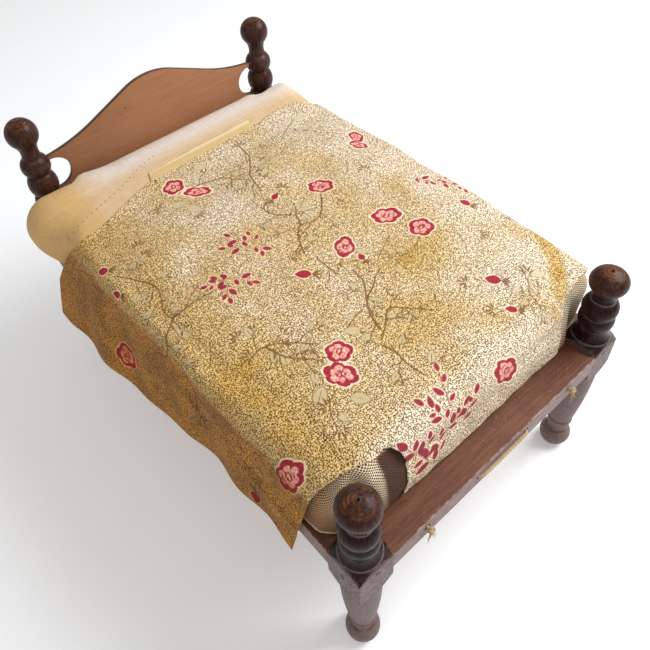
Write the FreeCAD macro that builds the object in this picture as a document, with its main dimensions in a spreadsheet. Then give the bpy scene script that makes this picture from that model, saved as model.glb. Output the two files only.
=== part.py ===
import FreeCAD, Part
import math
import os

import Sketcher

# Doll's low-post rope bed, made up with mattress, bolster and coverlet.
# Origin: on the floor, midway between the four posts. +Y points to the head
# end, +X to the sleeper's right hand side, +Z up. Millimetres throughout.

doc = FreeCAD.newDocument("doll_bed")

# ---------------------------------------------------------------- dimensions

SIZES = [
    # frame
    ("span_x", 248.0),            # post axis to post axis across the bed
    ("span_y", 410.0),            # post axis to post axis along the bed
    ("stock", 30.0),              # square stock the posts are turned from
    ("rail_top", 149.0),
    ("rail_height", 20.0),
    ("rail_thick", 26.0),
    ("edge_round", 0.8),          # worn arris of the rails
    ("tenon_length", 20.0),
    ("tenon_width", 12.0),
    ("tenon_height", 7.0),
    ("end_tenon_base", 140.0),    # end rails are tenoned above the side rails
    ("side_tenon_base", 131.0),
    ("mortise_play", 0.1),
    ("mortise_relief", 0.5),      # free space past the end of a tenon
    ("peg_radius", 1.7),
    ("peg_play", 0.05),
    ("peg_length", 24.0),
    ("peg_proud", 0.3),
    ("peg_inset", 1.0),           # peg axis, from the post axis towards the rail
    # headboard
    ("board_thick", 4.0),
    ("board_base", 162.0),
    ("board_edge", 118.0),        # half width to the ends housed in the posts
    ("board_play", 0.1),
    ("notch_edge", 110.0),
    ("notch_depth_x", 95.5),
    ("notch_base", 206.5),
    ("notch_middle", 221.5),
    ("notch_top", 236.5),
    ("notch_curve", 14.8),
    ("ear_base", 236.0),
    ("ear_top", 239.6),
    ("ear_curve", 164.0),
    ("ear_room", 1.0),            # housing left open above the ear
    ("sweep_x", 62.0),
    ("sweep_top", 252.9),
    ("crest_x", 24.7),
    ("crest_side", 269.1),
    ("crest_curve", 62.0),
    ("crest_top", 274.2),
    # bed cords
    ("cord_radius", 1.5),
    ("cord_hole_radius", 2.5),
    ("cord_height", 141.0),
    ("cord_bend", 3.2),
    ("cord_off_face", 1.8),       # centre line of a cord lying along a rail
    ("cord_pitch_x", 52.0),
    ("cord_pitch_y", 60.0),
    ("weave_lift", 3.3),
    ("weave_curve", 12.0),
    ("weave_start", 111.0),
    ("knot_radius", 3.2),
    ("knot_gap", 0.2),
    ("knot_play", 0.02),
    ("knot_tail", 8.0),
    # bedding
    ("bed_rest", 149.3),          # underside of the mattress and the bolster
    ("mattress_half_width", 138.0),
    ("mattress_foot", -189.3),
    ("mattress_head", 103.8),
    ("mattress_top", 208.0),
    ("mattress_round", 10.0),
    ("tick_thick", 0.9),
    ("filling_play", 0.1),
    ("bolster_left", -140.0),
    ("bolster_right", 140.0),
    ("bolster_front", 105.0),
    ("bolster_back", 189.3),
    ("bolster_top", 208.0),
    ("bolster_round", 14.0),
    ("cover_thick", 1.2),
    ("cover_rest", 208.6),        # underside of the coverlet on the mattress
    ("cover_fold", 141.0),        # inside of the fold along each side
    ("cover_hem_x", 158.0),
    ("cover_hem", 116.0),
    ("cover_head", 149.5),
    ("cover_head_turn", -50.0),   # from here the head edge slants to the left fold
    ("cover_head_left", 118.0),
    ("cover_head_right", 131.0),
    ("hem_head_left", 158.0),
    ("hem_head_right", 140.0),
    ("cover_foot", -190.3),
    ("flap_left", -76.0),
    ("flap_right", 95.0),
    ("flap_hem", 152.0),
    ("corner_left", -175.0),      # where the left corner cut meets the fold
    ("corner_right", -182.0),
    ("hem_foot", -160.0),
]

# A turning is listed from the floor up: name, radius, height, then the radius
# of the curve that leads to the next station (0 is a straight cut) and its
# side, 1 for a bead and -1 for a cove.
LEG_TURNING = [
    ("sole", 6.0, 0.0, 13.4, 1),
    ("ankle", 8.4, 22.44, 14.0, -1),
    ("collar", 9.6, 34.0, 3.0, 1),
    ("taper", 9.8, 38.5, 520.0, 1),
    ("under_block", 14.8, 112.0, 0.0, 0),
    ("block_base", 21.4, 119.5, 0.0, 0),
    ("block_top", 21.4, 147.5, 0.0, 0),
    ("over_block", 14.8, 155.7, 14.0, -1),
    ("low_bead", 11.8, 167.5, 12.3, 1),
]
FOOT_CROWN = [
    ("high_bead", 11.8, 180.0, 12.0, 1),
    ("neck", 9.0, 195.5, 8.7, -1),
    ("ball", 9.5, 204.5, 9.6, 1),
    ("ball_cap", 9.1, 221.13, 19.0, 1),
    ("centre_rim", 1.2, 223.41, 0.0, 0),
    ("centre_pit", 0.0, 221.4, 0.0, 0),
]
HEAD_CROWN = [
    ("second_bead", 11.8, 180.0, 10.1, 1),
    ("third_bead", 10.4, 192.5, 10.5, 1),
    ("fourth_bead", 10.2, 207.0, 17.5, 1),
    ("high_bead", 9.6, 228.0, 11.8, 1),
    ("neck", 8.6, 245.5, 16.5, -1),
    ("ball", 10.1, 259.5, 13.8, 1),
    ("centre_rim", 1.2, 282.65, 0.0, 0),
    ("centre_pit", 0.0, 280.6, 0.0, 0),
]


def turning_cells(prefix, stations):
    """Sheet rows of a turning: a radius, a height and a curve per station."""
    rows = []
    for name, radius, height, curve, _ in stations:
        rows.append((f"{prefix}_{name}_radius", radius))
        rows.append((f"{prefix}_{name}_height", height))
        rows.append((f"{prefix}_{name}_curve", curve))
    return rows


SIZES += turning_cells("leg", LEG_TURNING)
SIZES += turning_cells("foot", FOOT_CROWN)
SIZES += turning_cells("head", HEAD_CROWN)

sheet = doc.addObject("Spreadsheet::Sheet", "Sizes")
for row, (alias, size) in enumerate(SIZES, start=1):
    sheet.set(f"A{row}", alias)
    sheet.set(f"B{row}", str(size))
    sheet.setAlias(f"B{row}", alias)
doc.recompute()


def size(alias):
    return float(sheet.get(alias))


def bind(thing, values):
    """Tie properties to the sheet; names in braces stand for its cells."""
    for prop, text in values.items():
        thing.setExpression(prop, text.replace("{", "Sizes.").replace("}", ""))


# --------------------------------------------------------------- primitives


def add_box(name, corner, lengths):
    """A box from expressions for its low corner and its three lengths."""
    block = doc.addObject("Part::Box", name)
    keys = ("Length", "Width", "Height")
    bind(block, dict(zip(keys, lengths)))
    bind(block, {f"Placement.Base.{a}": text for a, text in zip("xyz", corner)})
    return block


AIM = {
    "x": FreeCAD.Rotation(FreeCAD.Vector(0, 1, 0), 90),
    "y": FreeCAD.Rotation(FreeCAD.Vector(1, 0, 0), -90),
    "z": FreeCAD.Rotation(),
}


def add_rod(name, start, axis, radius, length):
    """A cylinder from a start point, running along +X, +Y or +Z."""
    rod = doc.addObject("Part::Cylinder", name)
    rod.Placement = FreeCAD.Placement(FreeCAD.Vector(), AIM[axis])
    bind(rod, {"Radius": radius, "Height": length})
    bind(rod, {f"Placement.Base.{a}": text for a, text in zip("xyz", start)})
    return rod


def add_fuse(name, shapes):
    fuse = doc.addObject("Part::MultiFuse", name)
    fuse.Shapes = shapes
    return fuse


def add_cut(label, base, tools):
    """The base less all its tools: the finished sub-part of that label."""
    cut = doc.addObject("Part::Cut", label)
    cut.Base = base
    cut.Tool = add_fuse(f"{label}_tools", tools) if len(tools) > 1 else tools[0]
    cut.Label = label
    return cut


def add_fillet(name, base, radius_cell, wanted):
    """Round the edges of a box that wanted(direction) picks."""
    doc.recompute()
    rounded = doc.addObject("Part::Fillet", name)
    rounded.Base = base
    radius = size(radius_cell)
    edges = []
    for number, edge in enumerate(base.Shape.Edges, start=1):
        along = edge.Vertexes[-1].Point - edge.Vertexes[0].Point
        if wanted(along):
            edges.append((number, radius, radius))
    rounded.Edges = edges
    return rounded


# ----------------------------------------------------------------- outlines


def arc_between(start, end, radius, side):
    """Minor arc of that radius, bulging to the right of travel for side 1."""
    chord = end - start
    half = chord.Length / 2
    travel = chord.normalize()
    right = FreeCAD.Vector(travel.y, -travel.x, 0)
    rise = radius - math.sqrt(radius**2 - half**2)
    middle = (start + end) * 0.5 + right * (side * rise)
    return Part.Arc(start, middle, end)


def draw_outline(sketch, vertices):
    """Closed outline, every vertex and radius constrained to its cell.

    A vertex is (x cell, y cell, curve cell, side); a missing x or y cell puts
    it on that axis, and the curve leads on to the next vertex.
    """
    points = [
        FreeCAD.Vector(size(x) if x else 0, size(y) if y else 0, 0)
        for x, y, _, _ in vertices
    ]
    ends = []
    for index, (_, _, curve, side) in enumerate(vertices):
        start, end = points[index], points[(index + 1) % len(points)]
        if side:
            edge = arc_between(start, end, size(curve), side)
        else:
            edge = Part.LineSegment(start, end)
        geo = sketch.addGeometry(edge, False)
        first = 1 if (sketch.getPoint(geo, 1) - start).Length < 1e-6 else 2
        ends.append((geo, first, 3 - first))
        if side:
            number = sketch.addConstraint(
                Sketcher.Constraint("Radius", geo, size(curve))
            )
            bind(sketch, {f"Constraints[{number}]": f"{{{curve}}}"})
    for index, (x, y, _, _) in enumerate(vertices):
        geo, first, _ = ends[index]
        last_geo, _, last = ends[index - 1]
        sketch.addConstraint(
            Sketcher.Constraint("Coincident", last_geo, last, geo, first)
        )
        for kind, cell, axis in (("DistanceX", x, -2), ("DistanceY", y, -1)):
            if cell is None:
                sketch.addConstraint(
                    Sketcher.Constraint("PointOnObject", geo, first, axis)
                )
                continue
            number = sketch.addConstraint(
                Sketcher.Constraint(kind, -1, 1, geo, first, size(cell))
            )
            bind(sketch, {f"Constraints[{number}]": f"{{{cell}}}"})


def add_sketch(body, name, role):
    """A sketch on one of the body's own origin planes."""
    plane = [f for f in body.Origin.OriginFeatures if f.Role == role][0]
    sketch = body.newObject("Sketcher::SketchObject", name)
    sketch.AttachmentSupport = [(plane, "")]
    sketch.MapMode = "FlatFace"
    return sketch


# -------------------------------------------------------------------- posts


def turning_vertices(prefix, stations):
    vertices = []
    for name, radius, height, _, side in stations:
        stem = f"{prefix}_{name}"
        x = f"{stem}_radius" if radius else None
        y = f"{stem}_height" if height else None
        vertices.append((x, y, f"{stem}_curve", side))
    return vertices


def add_turning(label, prefix, crown):
    """The turned solid: legs and block are common to all four posts."""
    body = doc.addObject("PartDesign::Body", f"{label}_turning")
    sketch = add_sketch(body, f"{label}_outline", "XZ_Plane")
    vertices = turning_vertices("leg", LEG_TURNING)
    vertices += turning_vertices(prefix, crown)
    draw_outline(sketch, vertices + [(None, None, None, 0)])
    turn = body.newObject("PartDesign::Revolution", f"{label}_revolution")
    turn.Profile = sketch
    turn.ReferenceAxis = (sketch, ["V_Axis"])
    turn.Angle = 360
    body.Tip = turn
    return body


def add_mortises(label, to_x, to_y):
    """Mortises for an end rail on the to_x side, a side rail on the to_y side."""
    depth = "({tenon_length} + {mortise_relief})"
    width = "({tenon_width} + 2 * {mortise_play})"
    height = "({tenon_height} + 2 * {mortise_play})"

    def low(sign):
        """Low end of a mortise that opens on the face facing sign."""
        return f"({{stock}} / 2 - {depth})" if sign > 0 else "(-{stock} / 2)"

    end = add_box(
        f"{label}_end_mortise",
        (low(to_x), f"-{width} / 2", "{end_tenon_base} - {mortise_play}"),
        (depth, width, height),
    )
    side = add_box(
        f"{label}_side_mortise",
        (f"-{width} / 2", low(to_y), "{side_tenon_base} - {mortise_play}"),
        (width, depth, height),
    )
    return [end, side]


def add_peg_holes(label, to_x, to_y):
    """Peg holes from the outer faces, through both tenons."""
    radius = "{peg_radius} + {peg_play}"

    def outer(sign):
        """Low end of a hole drilled from the face facing away from sign."""
        return "-{stock} / 2" if sign > 0 else "{stock} / 2 - {peg_length}"

    end = add_rod(
        f"{label}_end_peg_hole",
        (f"{to_x} * {{peg_inset}}", outer(to_y), "{end_tenon_base} + {tenon_height} / 2"),
        "y",
        radius,
        "{peg_length}",
    )
    side = add_rod(
        f"{label}_side_peg_hole",
        (outer(to_x), f"{to_y} * {{peg_inset}}", "{side_tenon_base} + {tenon_height} / 2"),
        "x",
        radius,
        "{peg_length}",
    )
    return [end, side]


def add_board_housings(label, to_x):
    """Slots that house the headboard's end and its ear."""
    housings = []
    for name, base, top in (
        ("board", "{board_base}", "{notch_base}"),
        ("ear", "{ear_base}", "({ear_top} + {ear_room})"),
    ):
        depth = "({board_edge} + {board_play} - {span_x} / 2 + {stock})"
        start = (
            "{span_x} / 2 - {board_edge} - {board_play}"
            if to_x > 0
            else f"-({{span_x}} / 2 - {{board_edge}} - {{board_play}}) - {depth}"
        )
        housings.append(
            add_box(
                f"{label}_{name}_housing",
                (
                    start,
                    "-{board_thick} / 2 - {board_play}",
                    f"{base} - {{board_play}}",
                ),
                (
                    depth,
                    "{board_thick} + 2 * {board_play}",
                    f"{top} - {base} + 3 * {{board_play}}",
                ),
            )
        )
    return housings


def add_post(label, prefix, crown, to_x, to_y):
    """One post; to_x and to_y point from its axis towards the bed's middle."""
    stock = add_box(
        f"{label}_stock",
        ("-{stock} / 2", "-{stock} / 2", "0"),
        ("{stock}", "{stock}", f"{{{prefix}_centre_rim_height}} + {{stock}}"),
    )
    shaped = doc.addObject("Part::Common", f"{label}_shaped")
    shaped.Base = stock
    shaped.Tool = add_turning(label, prefix, crown)
    tools = add_mortises(label, to_x, to_y) + add_peg_holes(label, to_x, to_y)
    if prefix == "head":
        tools += add_board_housings(label, to_x)
    post = add_cut(label, shaped, tools)
    bind(
        post,
        {
            "Placement.Base.x": f"{-to_x} * {{span_x}} / 2",
            "Placement.Base.y": f"{-to_y} * {{span_y}} / 2",
        },
    )
    return post


# -------------------------------------------------------------------- rails


def add_end_rail(label, sign):
    """Rail across the bed at the foot (sign -1) or the head (sign 1)."""
    length = "({span_x} - {stock})"
    outer = "({span_y} / 2 + {stock} / 2)"
    low = f"-{outer}" if sign < 0 else f"{outer} - {{rail_thick}}"
    plank = add_box(
        f"{label}_plank",
        (f"-{length} / 2", low, "{rail_top} - {rail_height}"),
        (length, "{rail_thick}", "{rail_height}"),
    )
    worn = add_fillet(f"{label}_worn", plank, "edge_round", lambda v: abs(v.x) > 1)
    tenons = add_box(
        f"{label}_tenons",
        (
            f"-{length} / 2 - {{tenon_length}}",
            f"{sign} * {{span_y}} / 2 - {{tenon_width}} / 2",
            "{end_tenon_base}",
        ),
        (f"{length} + 2 * {{tenon_length}}", "{tenon_width}", "{tenon_height}"),
    )
    holes = []
    for place in CORD_PLACES_X:
        holes.append(
            add_rod(
                f"{label}_cord_hole",
                (f"{place} * {{cord_pitch_x}}", f"{low} - 1", "{cord_height}"),
                "y",
                "{cord_hole_radius}",
                "{rail_thick} + 2",
            )
        )
    for end in (-1, 1):
        holes.append(
            add_rod(
                f"{label}_peg_hole",
                (
                    f"{end} * ({{span_x}} / 2 - {{peg_inset}})",
                    f"{sign} * {{span_y}} / 2 - {{stock}}",
                    "{end_tenon_base} + {tenon_height} / 2",
                ),
                "y",
                "{peg_radius} + {peg_play}",
                "2 * {stock}",
            )
        )
    return add_cut(label, add_fuse(f"{label}_blank", [worn, tenons]), holes)


def add_side_rail(label, sign):
    """Rail along the bed on the left (sign -1) or the right (sign 1)."""
    length = "({span_y} - {stock})"
    outer = "({span_x} / 2 + {stock} / 2)"
    low = f"-{outer}" if sign < 0 else f"{outer} - {{rail_thick}}"
    plank = add_box(
        f"{label}_plank",
        (low, f"-{length} / 2", "{rail_top} - {rail_height}"),
        ("{rail_thick}", length, "{rail_height}"),
    )
    worn = add_fillet(f"{label}_worn", plank, "edge_round", lambda v: abs(v.y) > 1)
    tenons = add_box(
        f"{label}_tenons",
        (
            f"{sign} * {{span_x}} / 2 - {{tenon_width}} / 2",
            f"-{length} / 2 - {{tenon_length}}",
            "{side_tenon_base}",
        ),
        ("{tenon_width}", f"{length} + 2 * {{tenon_length}}", "{tenon_height}"),
    )
    holes = []
    for place in CORD_PLACES_Y:
        holes.append(
            add_rod(
                f"{label}_cord_hole",
                (f"{low} - 1", f"{place} * {{cord_pitch_y}}", "{cord_height}"),
                "x",
                "{cord_hole_radius}",
                "{rail_thick} + 2",
            )
        )
    for end in (-1, 1):
        holes.append(
            add_rod(
                f"{label}_peg_hole",
                (
                    f"{sign} * {{span_x}} / 2 - {{stock}}",
                    f"{end} * ({{span_y}} / 2 - {{peg_inset}})",
                    "{side_tenon_base} + {tenon_height} / 2",
                ),
                "x",
                "{peg_radius} + {peg_play}",
                "2 * {stock}",
            )
        )
    return add_cut(label, add_fuse(f"{label}_blank", [worn, tenons]), holes)


def add_pegs(label, axis):
    """Four pegs along X or Y, one through each post, as a group of solids."""
    base = "side" if axis == "x" else "end"
    pegs = []
    for sign_x in (-1, 1):
        for sign_y in (-1, 1):
            centre = {
                "x": f"{sign_x} * {{span_x}} / 2",
                "y": f"{sign_y} * {{span_y}} / 2",
            }
            other = "y" if axis == "x" else "x"
            sign = sign_x if axis == "x" else sign_y
            inward = -(sign_y if axis == "x" else sign_x)
            face = f"({centre[axis]} + {sign} * ({{stock}} / 2 + {{peg_proud}}))"
            start = {
                axis: face if sign < 0 else f"{face} - {{peg_length}}",
                other: f"{centre[other]} + {inward} * {{peg_inset}}",
            }
            height = f"{{{base}_tenon_base}} + {{tenon_height}} / 2"
            pegs.append(
                add_rod(
                    f"{label}_peg",
                    (start["x"], start["y"], height),
                    axis,
                    "{peg_radius}",
                    "{peg_length}",
                )
            )
    group = doc.addObject("Part::Compound", label)
    group.Links = pegs
    group.Label = label
    return group


# ---------------------------------------------------------------- headboard


def add_headboard(label):
    """Thin board: half its outline is padded, then mirrored."""
    body = doc.addObject("PartDesign::Body", label)
    body.Label = label
    sketch = add_sketch(body, "headboard_half", "XZ_Plane")
    draw_outline(
        sketch,
        [
            (None, "board_base", None, 0),
            ("board_edge", "board_base", None, 0),
            ("board_edge", "notch_base", None, 0),
            ("notch_edge", "notch_base", "notch_curve", -1),
            ("notch_depth_x", "notch_middle", "notch_curve", -1),
            ("notch_edge", "notch_top", None, 0),
            ("board_edge", "ear_base", None, 0),
            ("board_edge", "ear_top", "ear_curve", -1),
            ("sweep_x", "sweep_top", None, 0),
            ("crest_x", "crest_side", "crest_curve", 1),
            (None, "crest_top", None, 0),
        ],
    )
    pad = body.newObject("PartDesign::Pad", "headboard_pad")
    pad.Profile = sketch
    pad.Midplane = True
    bind(pad, {"Length": "{board_thick}"})
    body.Tip = pad
    doc.recompute()
    plane = [f for f in body.Origin.OriginFeatures if f.Role == "YZ_Plane"][0]
    mirror = body.newObject("PartDesign::Mirrored", "headboard_mirror")
    mirror.Originals = [pad]
    mirror.MirrorPlane = (plane, [""])
    body.Tip = mirror
    bind(body, {"Placement.Base.y": "{span_y} / 2"})
    return body


# -------------------------------------------------------------------- cords

CORD_PLACES_X = (-1.5, -0.5, 0.5, 1.5)
CORD_PLACES_Y = (-2.5, -1.5, -0.5, 0.5, 1.5, 2.5)


def rounded_path(corners):
    """Straight runs joined by tangent arcs; a corner is (point, radius)."""
    edges = []
    here = corners[0][0]
    for index in range(1, len(corners) - 1):
        point, radius = corners[index]
        back = (corners[index - 1][0] - point).normalize()
        onward = (corners[index + 1][0] - point).normalize()
        turn = math.pi - back.getAngle(onward)
        setback = radius * math.tan(turn / 2)
        into, out = point + back * setback, point + onward * setback
        inward = (back + onward).normalize()
        middle = point + inward * (radius / math.cos(turn / 2) - radius)
        edges.append(Part.LineSegment(here, into).toShape())
        edges.append(Part.Arc(into, middle, out).toShape())
        here = out
    edges.append(Part.LineSegment(here, corners[-1][0]).toShape())
    return Part.Wire(edges)


def add_cord(label, corners):
    """A cord of the sheet's radius along its route."""
    path = rounded_path(corners)
    start = path.Edges[0]
    direction = start.Vertexes[-1].Point - start.Vertexes[0].Point
    ring = Part.Circle(corners[0][0], direction, size("cord_radius")).toShape()
    cord = doc.addObject("Part::Feature", label)
    cord.Shape = path.makePipeShell([Part.Wire([ring])], True, False)
    cord.Label = label
    section = math.pi * size("cord_radius") ** 2
    print(
        f"{label}: length {path.Length:.1f} mm, volume over section times length",
        f"{cord.Shape.Volume / (section * path.Length):.4f}",
    )
    return cord


def knot_reach():
    """Distance of a knot's centre from the rail's outer face."""
    return size("knot_gap") + size("knot_radius")


def lengthwise_corners():
    """Knot at the foot, up and down the bed, knot at the foot."""
    height = size("cord_height")
    face = size("span_y") / 2 + size("stock") / 2
    reach = face + size("cord_off_face")
    bend = size("cord_bend")
    places = [place * size("cord_pitch_x") for place in CORD_PLACES_X]
    corners = [(FreeCAD.Vector(places[0], -face - knot_reach(), height), 0)]
    for index, x in enumerate(places[:-1]):
        y = reach if index % 2 == 0 else -reach
        corners.append((FreeCAD.Vector(x, y, height), bend))
        corners.append((FreeCAD.Vector(places[index + 1], y, height), bend))
    corners.append((FreeCAD.Vector(places[-1], -face - knot_reach(), height), 0))
    return corners


def crosswise_corners():
    """Knot on the right, across and back over and under, knot on the right."""
    height = size("cord_height")
    face = size("span_x") / 2 + size("stock") / 2
    reach = face + size("cord_off_face")
    bend = size("cord_bend")
    curve = size("weave_curve")
    places = [place * size("cord_pitch_y") for place in CORD_PLACES_Y]
    crossings = [place * size("cord_pitch_x") for place in CORD_PLACES_X]
    corners = [(FreeCAD.Vector(face + knot_reach(), places[0], height), 0)]
    for row, y in enumerate(places):
        heading = -1 if row % 2 == 0 else 1
        start = size("weave_start")
        corners.append((FreeCAD.Vector(-heading * start, y, height), curve))
        for column, x in enumerate(sorted(crossings, reverse=heading < 0)):
            lift = size("weave_lift") * (1 if (row + column) % 2 else -1) * heading
            corners.append((FreeCAD.Vector(x, y, height + lift), curve))
        corners.append((FreeCAD.Vector(heading * start, y, height), curve))
        if row < len(places) - 1:
            corners.append((FreeCAD.Vector(heading * reach, y, height), bend))
            corners.append(
                (FreeCAD.Vector(heading * reach, places[row + 1], height), bend)
            )
    corners.append((FreeCAD.Vector(face + knot_reach(), places[-1], height), 0))
    return corners


def add_knots(label, centres, bore_axis):
    """Knots with a hanging tail, each bored for the end of its cord."""
    knots = []
    for number, (x, y) in enumerate(centres, start=1):
        name = f"{label}_{number}"
        ball = doc.addObject("Part::Sphere", f"{name}_ball")
        bind(
            ball,
            {
                "Radius": "{knot_radius}",
                "Placement.Base.x": x,
                "Placement.Base.y": y,
                "Placement.Base.z": "{cord_height}",
            },
        )
        tail = doc.addObject("Part::Cone", f"{name}_tail")
        bind(
            tail,
            {
                "Radius1": "{cord_radius}",
                "Radius2": "{cord_radius} * 0.7",
                "Height": "{knot_tail}",
                "Placement.Base.x": x,
                "Placement.Base.y": y,
                "Placement.Base.z": "{cord_height} - {knot_tail}",
            },
        )
        starts = {
            "x": (f"{x} - {{knot_radius}} * 2", y, "{cord_height}"),
            "y": (x, y, "{cord_height}"),
        }
        bore = add_rod(
            f"{name}_bore",
            starts[bore_axis],
            bore_axis,
            "{cord_radius} + {knot_play}",
            "{knot_radius} * 2",
        )
        lump = add_fuse(f"{name}_lump", [ball, tail])
        knots.append(add_cut(f"{name}_bored", lump, [bore]))
    group = doc.addObject("Part::Compound", label)
    group.Links = knots
    group.Label = label
    return group


# ------------------------------------------------------------------ bedding


def add_cushion_block(name, corner_cells, far_cells, inset, round_cell):
    """A box between two corners of cells, set in by a length and rounded."""
    block = add_box(
        name,
        [f"{{{low}}} + {inset}" if sign > 0 else f"-{{{low}}} + {inset}"
         for sign, low in corner_cells],
        [f"{{{high}}} - ({'' if sign > 0 else '-'}{{{low}}}) - 2 * {inset}"
         for (sign, low), high in zip(corner_cells, far_cells)],
    )
    return add_fillet(f"{name}_rounded", block, round_cell, lambda v: True)


def add_cushion(labels, corner_cells, far_cells, round_cell):
    """A sewn case and the filling that it is stuffed with."""
    case_label, filling_label = labels
    outside = add_cushion_block(
        f"{case_label}_outside", corner_cells, far_cells, "0", round_cell
    )
    inside = add_cushion_block(
        f"{case_label}_inside", corner_cells, far_cells, "{tick_thick}", round_cell
    )
    case = add_cut(case_label, outside, [inside])
    filling = add_cushion_block(
        f"{filling_label}_block",
        corner_cells,
        far_cells,
        "({tick_thick} + {filling_play})",
        round_cell,
    )
    filling.Label = filling_label
    return [case, filling]


def panel(points, thickness):
    """A flat piece of cloth: a polygon given a thickness vector."""
    corners = [FreeCAD.Vector(*point) for point in points]
    return Part.Face(Part.makePolygon(corners + corners[:1])).extrude(
        FreeCAD.Vector(*thickness)
    )


def add_coverlet(label):
    """Top, two side drapes and a foot flap, with both foot corners cut away."""
    thick = size("cover_thick")
    low, high = size("cover_rest"), size("cover_rest") + thick
    fold, head, foot = size("cover_fold"), size("cover_head"), size("cover_foot")
    corners = {-1: size("corner_left"), 1: size("corner_right")}
    top_ends = {-1: size("cover_head_left"), 1: size("cover_head_right")}
    hem_ends = {-1: size("hem_head_left"), 1: size("hem_head_right")}
    flap = (size("flap_left"), size("flap_right"))
    edge = fold + thick
    cloth = panel(
        [
            (-edge, top_ends[-1], low),
            (size("cover_head_turn"), head, low),
            (size("flap_right"), head, low),
            (edge, top_ends[1], low),
            (edge, corners[1], low),
            (flap[1], foot - thick, low),
            (flap[0], foot - thick, low),
            (-edge, corners[-1], low),
        ],
        (0, 0, thick),
    )
    cloth = cloth.fuse(
        panel(
            [
                (flap[0], foot, high),
                (flap[1], foot, high),
                (flap[1], foot, size("flap_hem")),
                (flap[0], foot, size("flap_hem")),
            ],
            (0, -thick, 0),
        )
    )
    for side in (-1, 1):
        drape = panel(
            [
                (side * fold, top_ends[side], high),
                (side * fold, corners[side], high),
                (side * size("cover_hem_x"), size("hem_foot"), size("cover_hem")),
                (side * size("cover_hem_x"), hem_ends[side], size("cover_hem")),
            ],
            (side * thick, 0, 0),
        )
        cloth = cloth.fuse(drape)
    coverlet = doc.addObject("Part::Feature", label)
    coverlet.Shape = cloth.removeSplitter()
    coverlet.Label = label
    return coverlet


# ----------------------------------------------------------------- assembly

parts = [
    add_post("foot_post_left", "foot", FOOT_CROWN, 1, 1),
    add_post("foot_post_right", "foot", FOOT_CROWN, -1, 1),
    add_post("head_post_left", "head", HEAD_CROWN, 1, -1),
    add_post("head_post_right", "head", HEAD_CROWN, -1, -1),
    add_end_rail("foot_rail", -1),
    add_end_rail("head_rail", 1),
    add_side_rail("side_rail_left", -1),
    add_side_rail("side_rail_right", 1),
    add_pegs("end_rail_pegs", "y"),
    add_pegs("side_rail_pegs", "x"),
    add_headboard("headboard"),
    add_cord("lengthwise_cord", lengthwise_corners()),
    add_cord("crosswise_cord", crosswise_corners()),
    add_coverlet("coverlet"),
]

end_face = "({span_y} / 2 + {stock} / 2 + {knot_gap} + {knot_radius})"
side_face = "({span_x} / 2 + {stock} / 2 + {knot_gap} + {knot_radius})"
parts.append(
    add_knots(
        "lengthwise_cord_knots",
        [(f"{place} * {{cord_pitch_x}}", f"-{end_face}")
         for place in (CORD_PLACES_X[0], CORD_PLACES_X[-1])],
        "y",
    )
)
parts.append(
    add_knots(
        "crosswise_cord_knots",
        [(side_face, f"{place} * {{cord_pitch_y}}")
         for place in (CORD_PLACES_Y[0], CORD_PLACES_Y[-1])],
        "x",
    )
)
parts += add_cushion(
    ("mattress_tick", "mattress_filling"),
    [(-1, "mattress_half_width"), (1, "mattress_foot"), (1, "bed_rest")],
    ["mattress_half_width", "mattress_head", "mattress_top"],
    "mattress_round",
)
parts += add_cushion(
    ("bolster_case", "bolster_filling"),
    [(1, "bolster_left"), (1, "bolster_front"), (1, "bed_rest")],
    ["bolster_right", "bolster_back", "bolster_top"],
    "bolster_round",
)

doc.recompute()

for item in doc.Objects:
    bad = [word for word in item.State if word in ("Invalid", "Error")]
    if bad:
        raise RuntimeError(f"{item.Name} is {bad}")
for part in parts:
    if part.Shape.isNull() or not part.Shape.isValid():
        raise RuntimeError(f"{part.Label} has no valid shape")

os.makedirs("parts", exist_ok=True)
for part in parts:
    part.Shape.exportStep(f"parts/{part.Label}.step")
    print(part.Label, "solids", len(part.Shape.Solids), "volume", round(part.Shape.Volume))
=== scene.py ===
import math

import bpy
import numpy as np
from mathutils import Matrix, Vector
from mathutils.bvhtree import BVHTree


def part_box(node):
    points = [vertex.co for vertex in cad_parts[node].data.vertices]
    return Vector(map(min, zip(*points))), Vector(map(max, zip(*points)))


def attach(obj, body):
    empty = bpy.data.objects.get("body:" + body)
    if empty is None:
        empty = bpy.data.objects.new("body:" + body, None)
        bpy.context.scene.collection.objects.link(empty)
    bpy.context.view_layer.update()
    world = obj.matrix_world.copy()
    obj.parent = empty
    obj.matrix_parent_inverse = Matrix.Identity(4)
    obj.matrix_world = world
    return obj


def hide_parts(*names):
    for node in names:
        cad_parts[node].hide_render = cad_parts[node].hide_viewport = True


# A doll's low-post rope bed: the turned frame comes from the CAD model, and
# the bedding and the cords are made here. Lengths are in millimetres in the
# bed's own frame until a mesh is made; MM turns them into metres.

MM = 0.001
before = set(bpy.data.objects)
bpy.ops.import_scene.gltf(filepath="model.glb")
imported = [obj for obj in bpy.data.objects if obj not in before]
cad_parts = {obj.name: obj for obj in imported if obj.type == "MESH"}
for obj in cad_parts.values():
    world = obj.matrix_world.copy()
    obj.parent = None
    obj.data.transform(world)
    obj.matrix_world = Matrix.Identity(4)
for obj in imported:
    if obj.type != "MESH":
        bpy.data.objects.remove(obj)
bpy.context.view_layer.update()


def box_mm(node):
    """Lowest and highest corner of a CAD node, in millimetres."""
    low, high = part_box(node)
    return np.array(low) / MM, np.array(high) / MM


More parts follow.
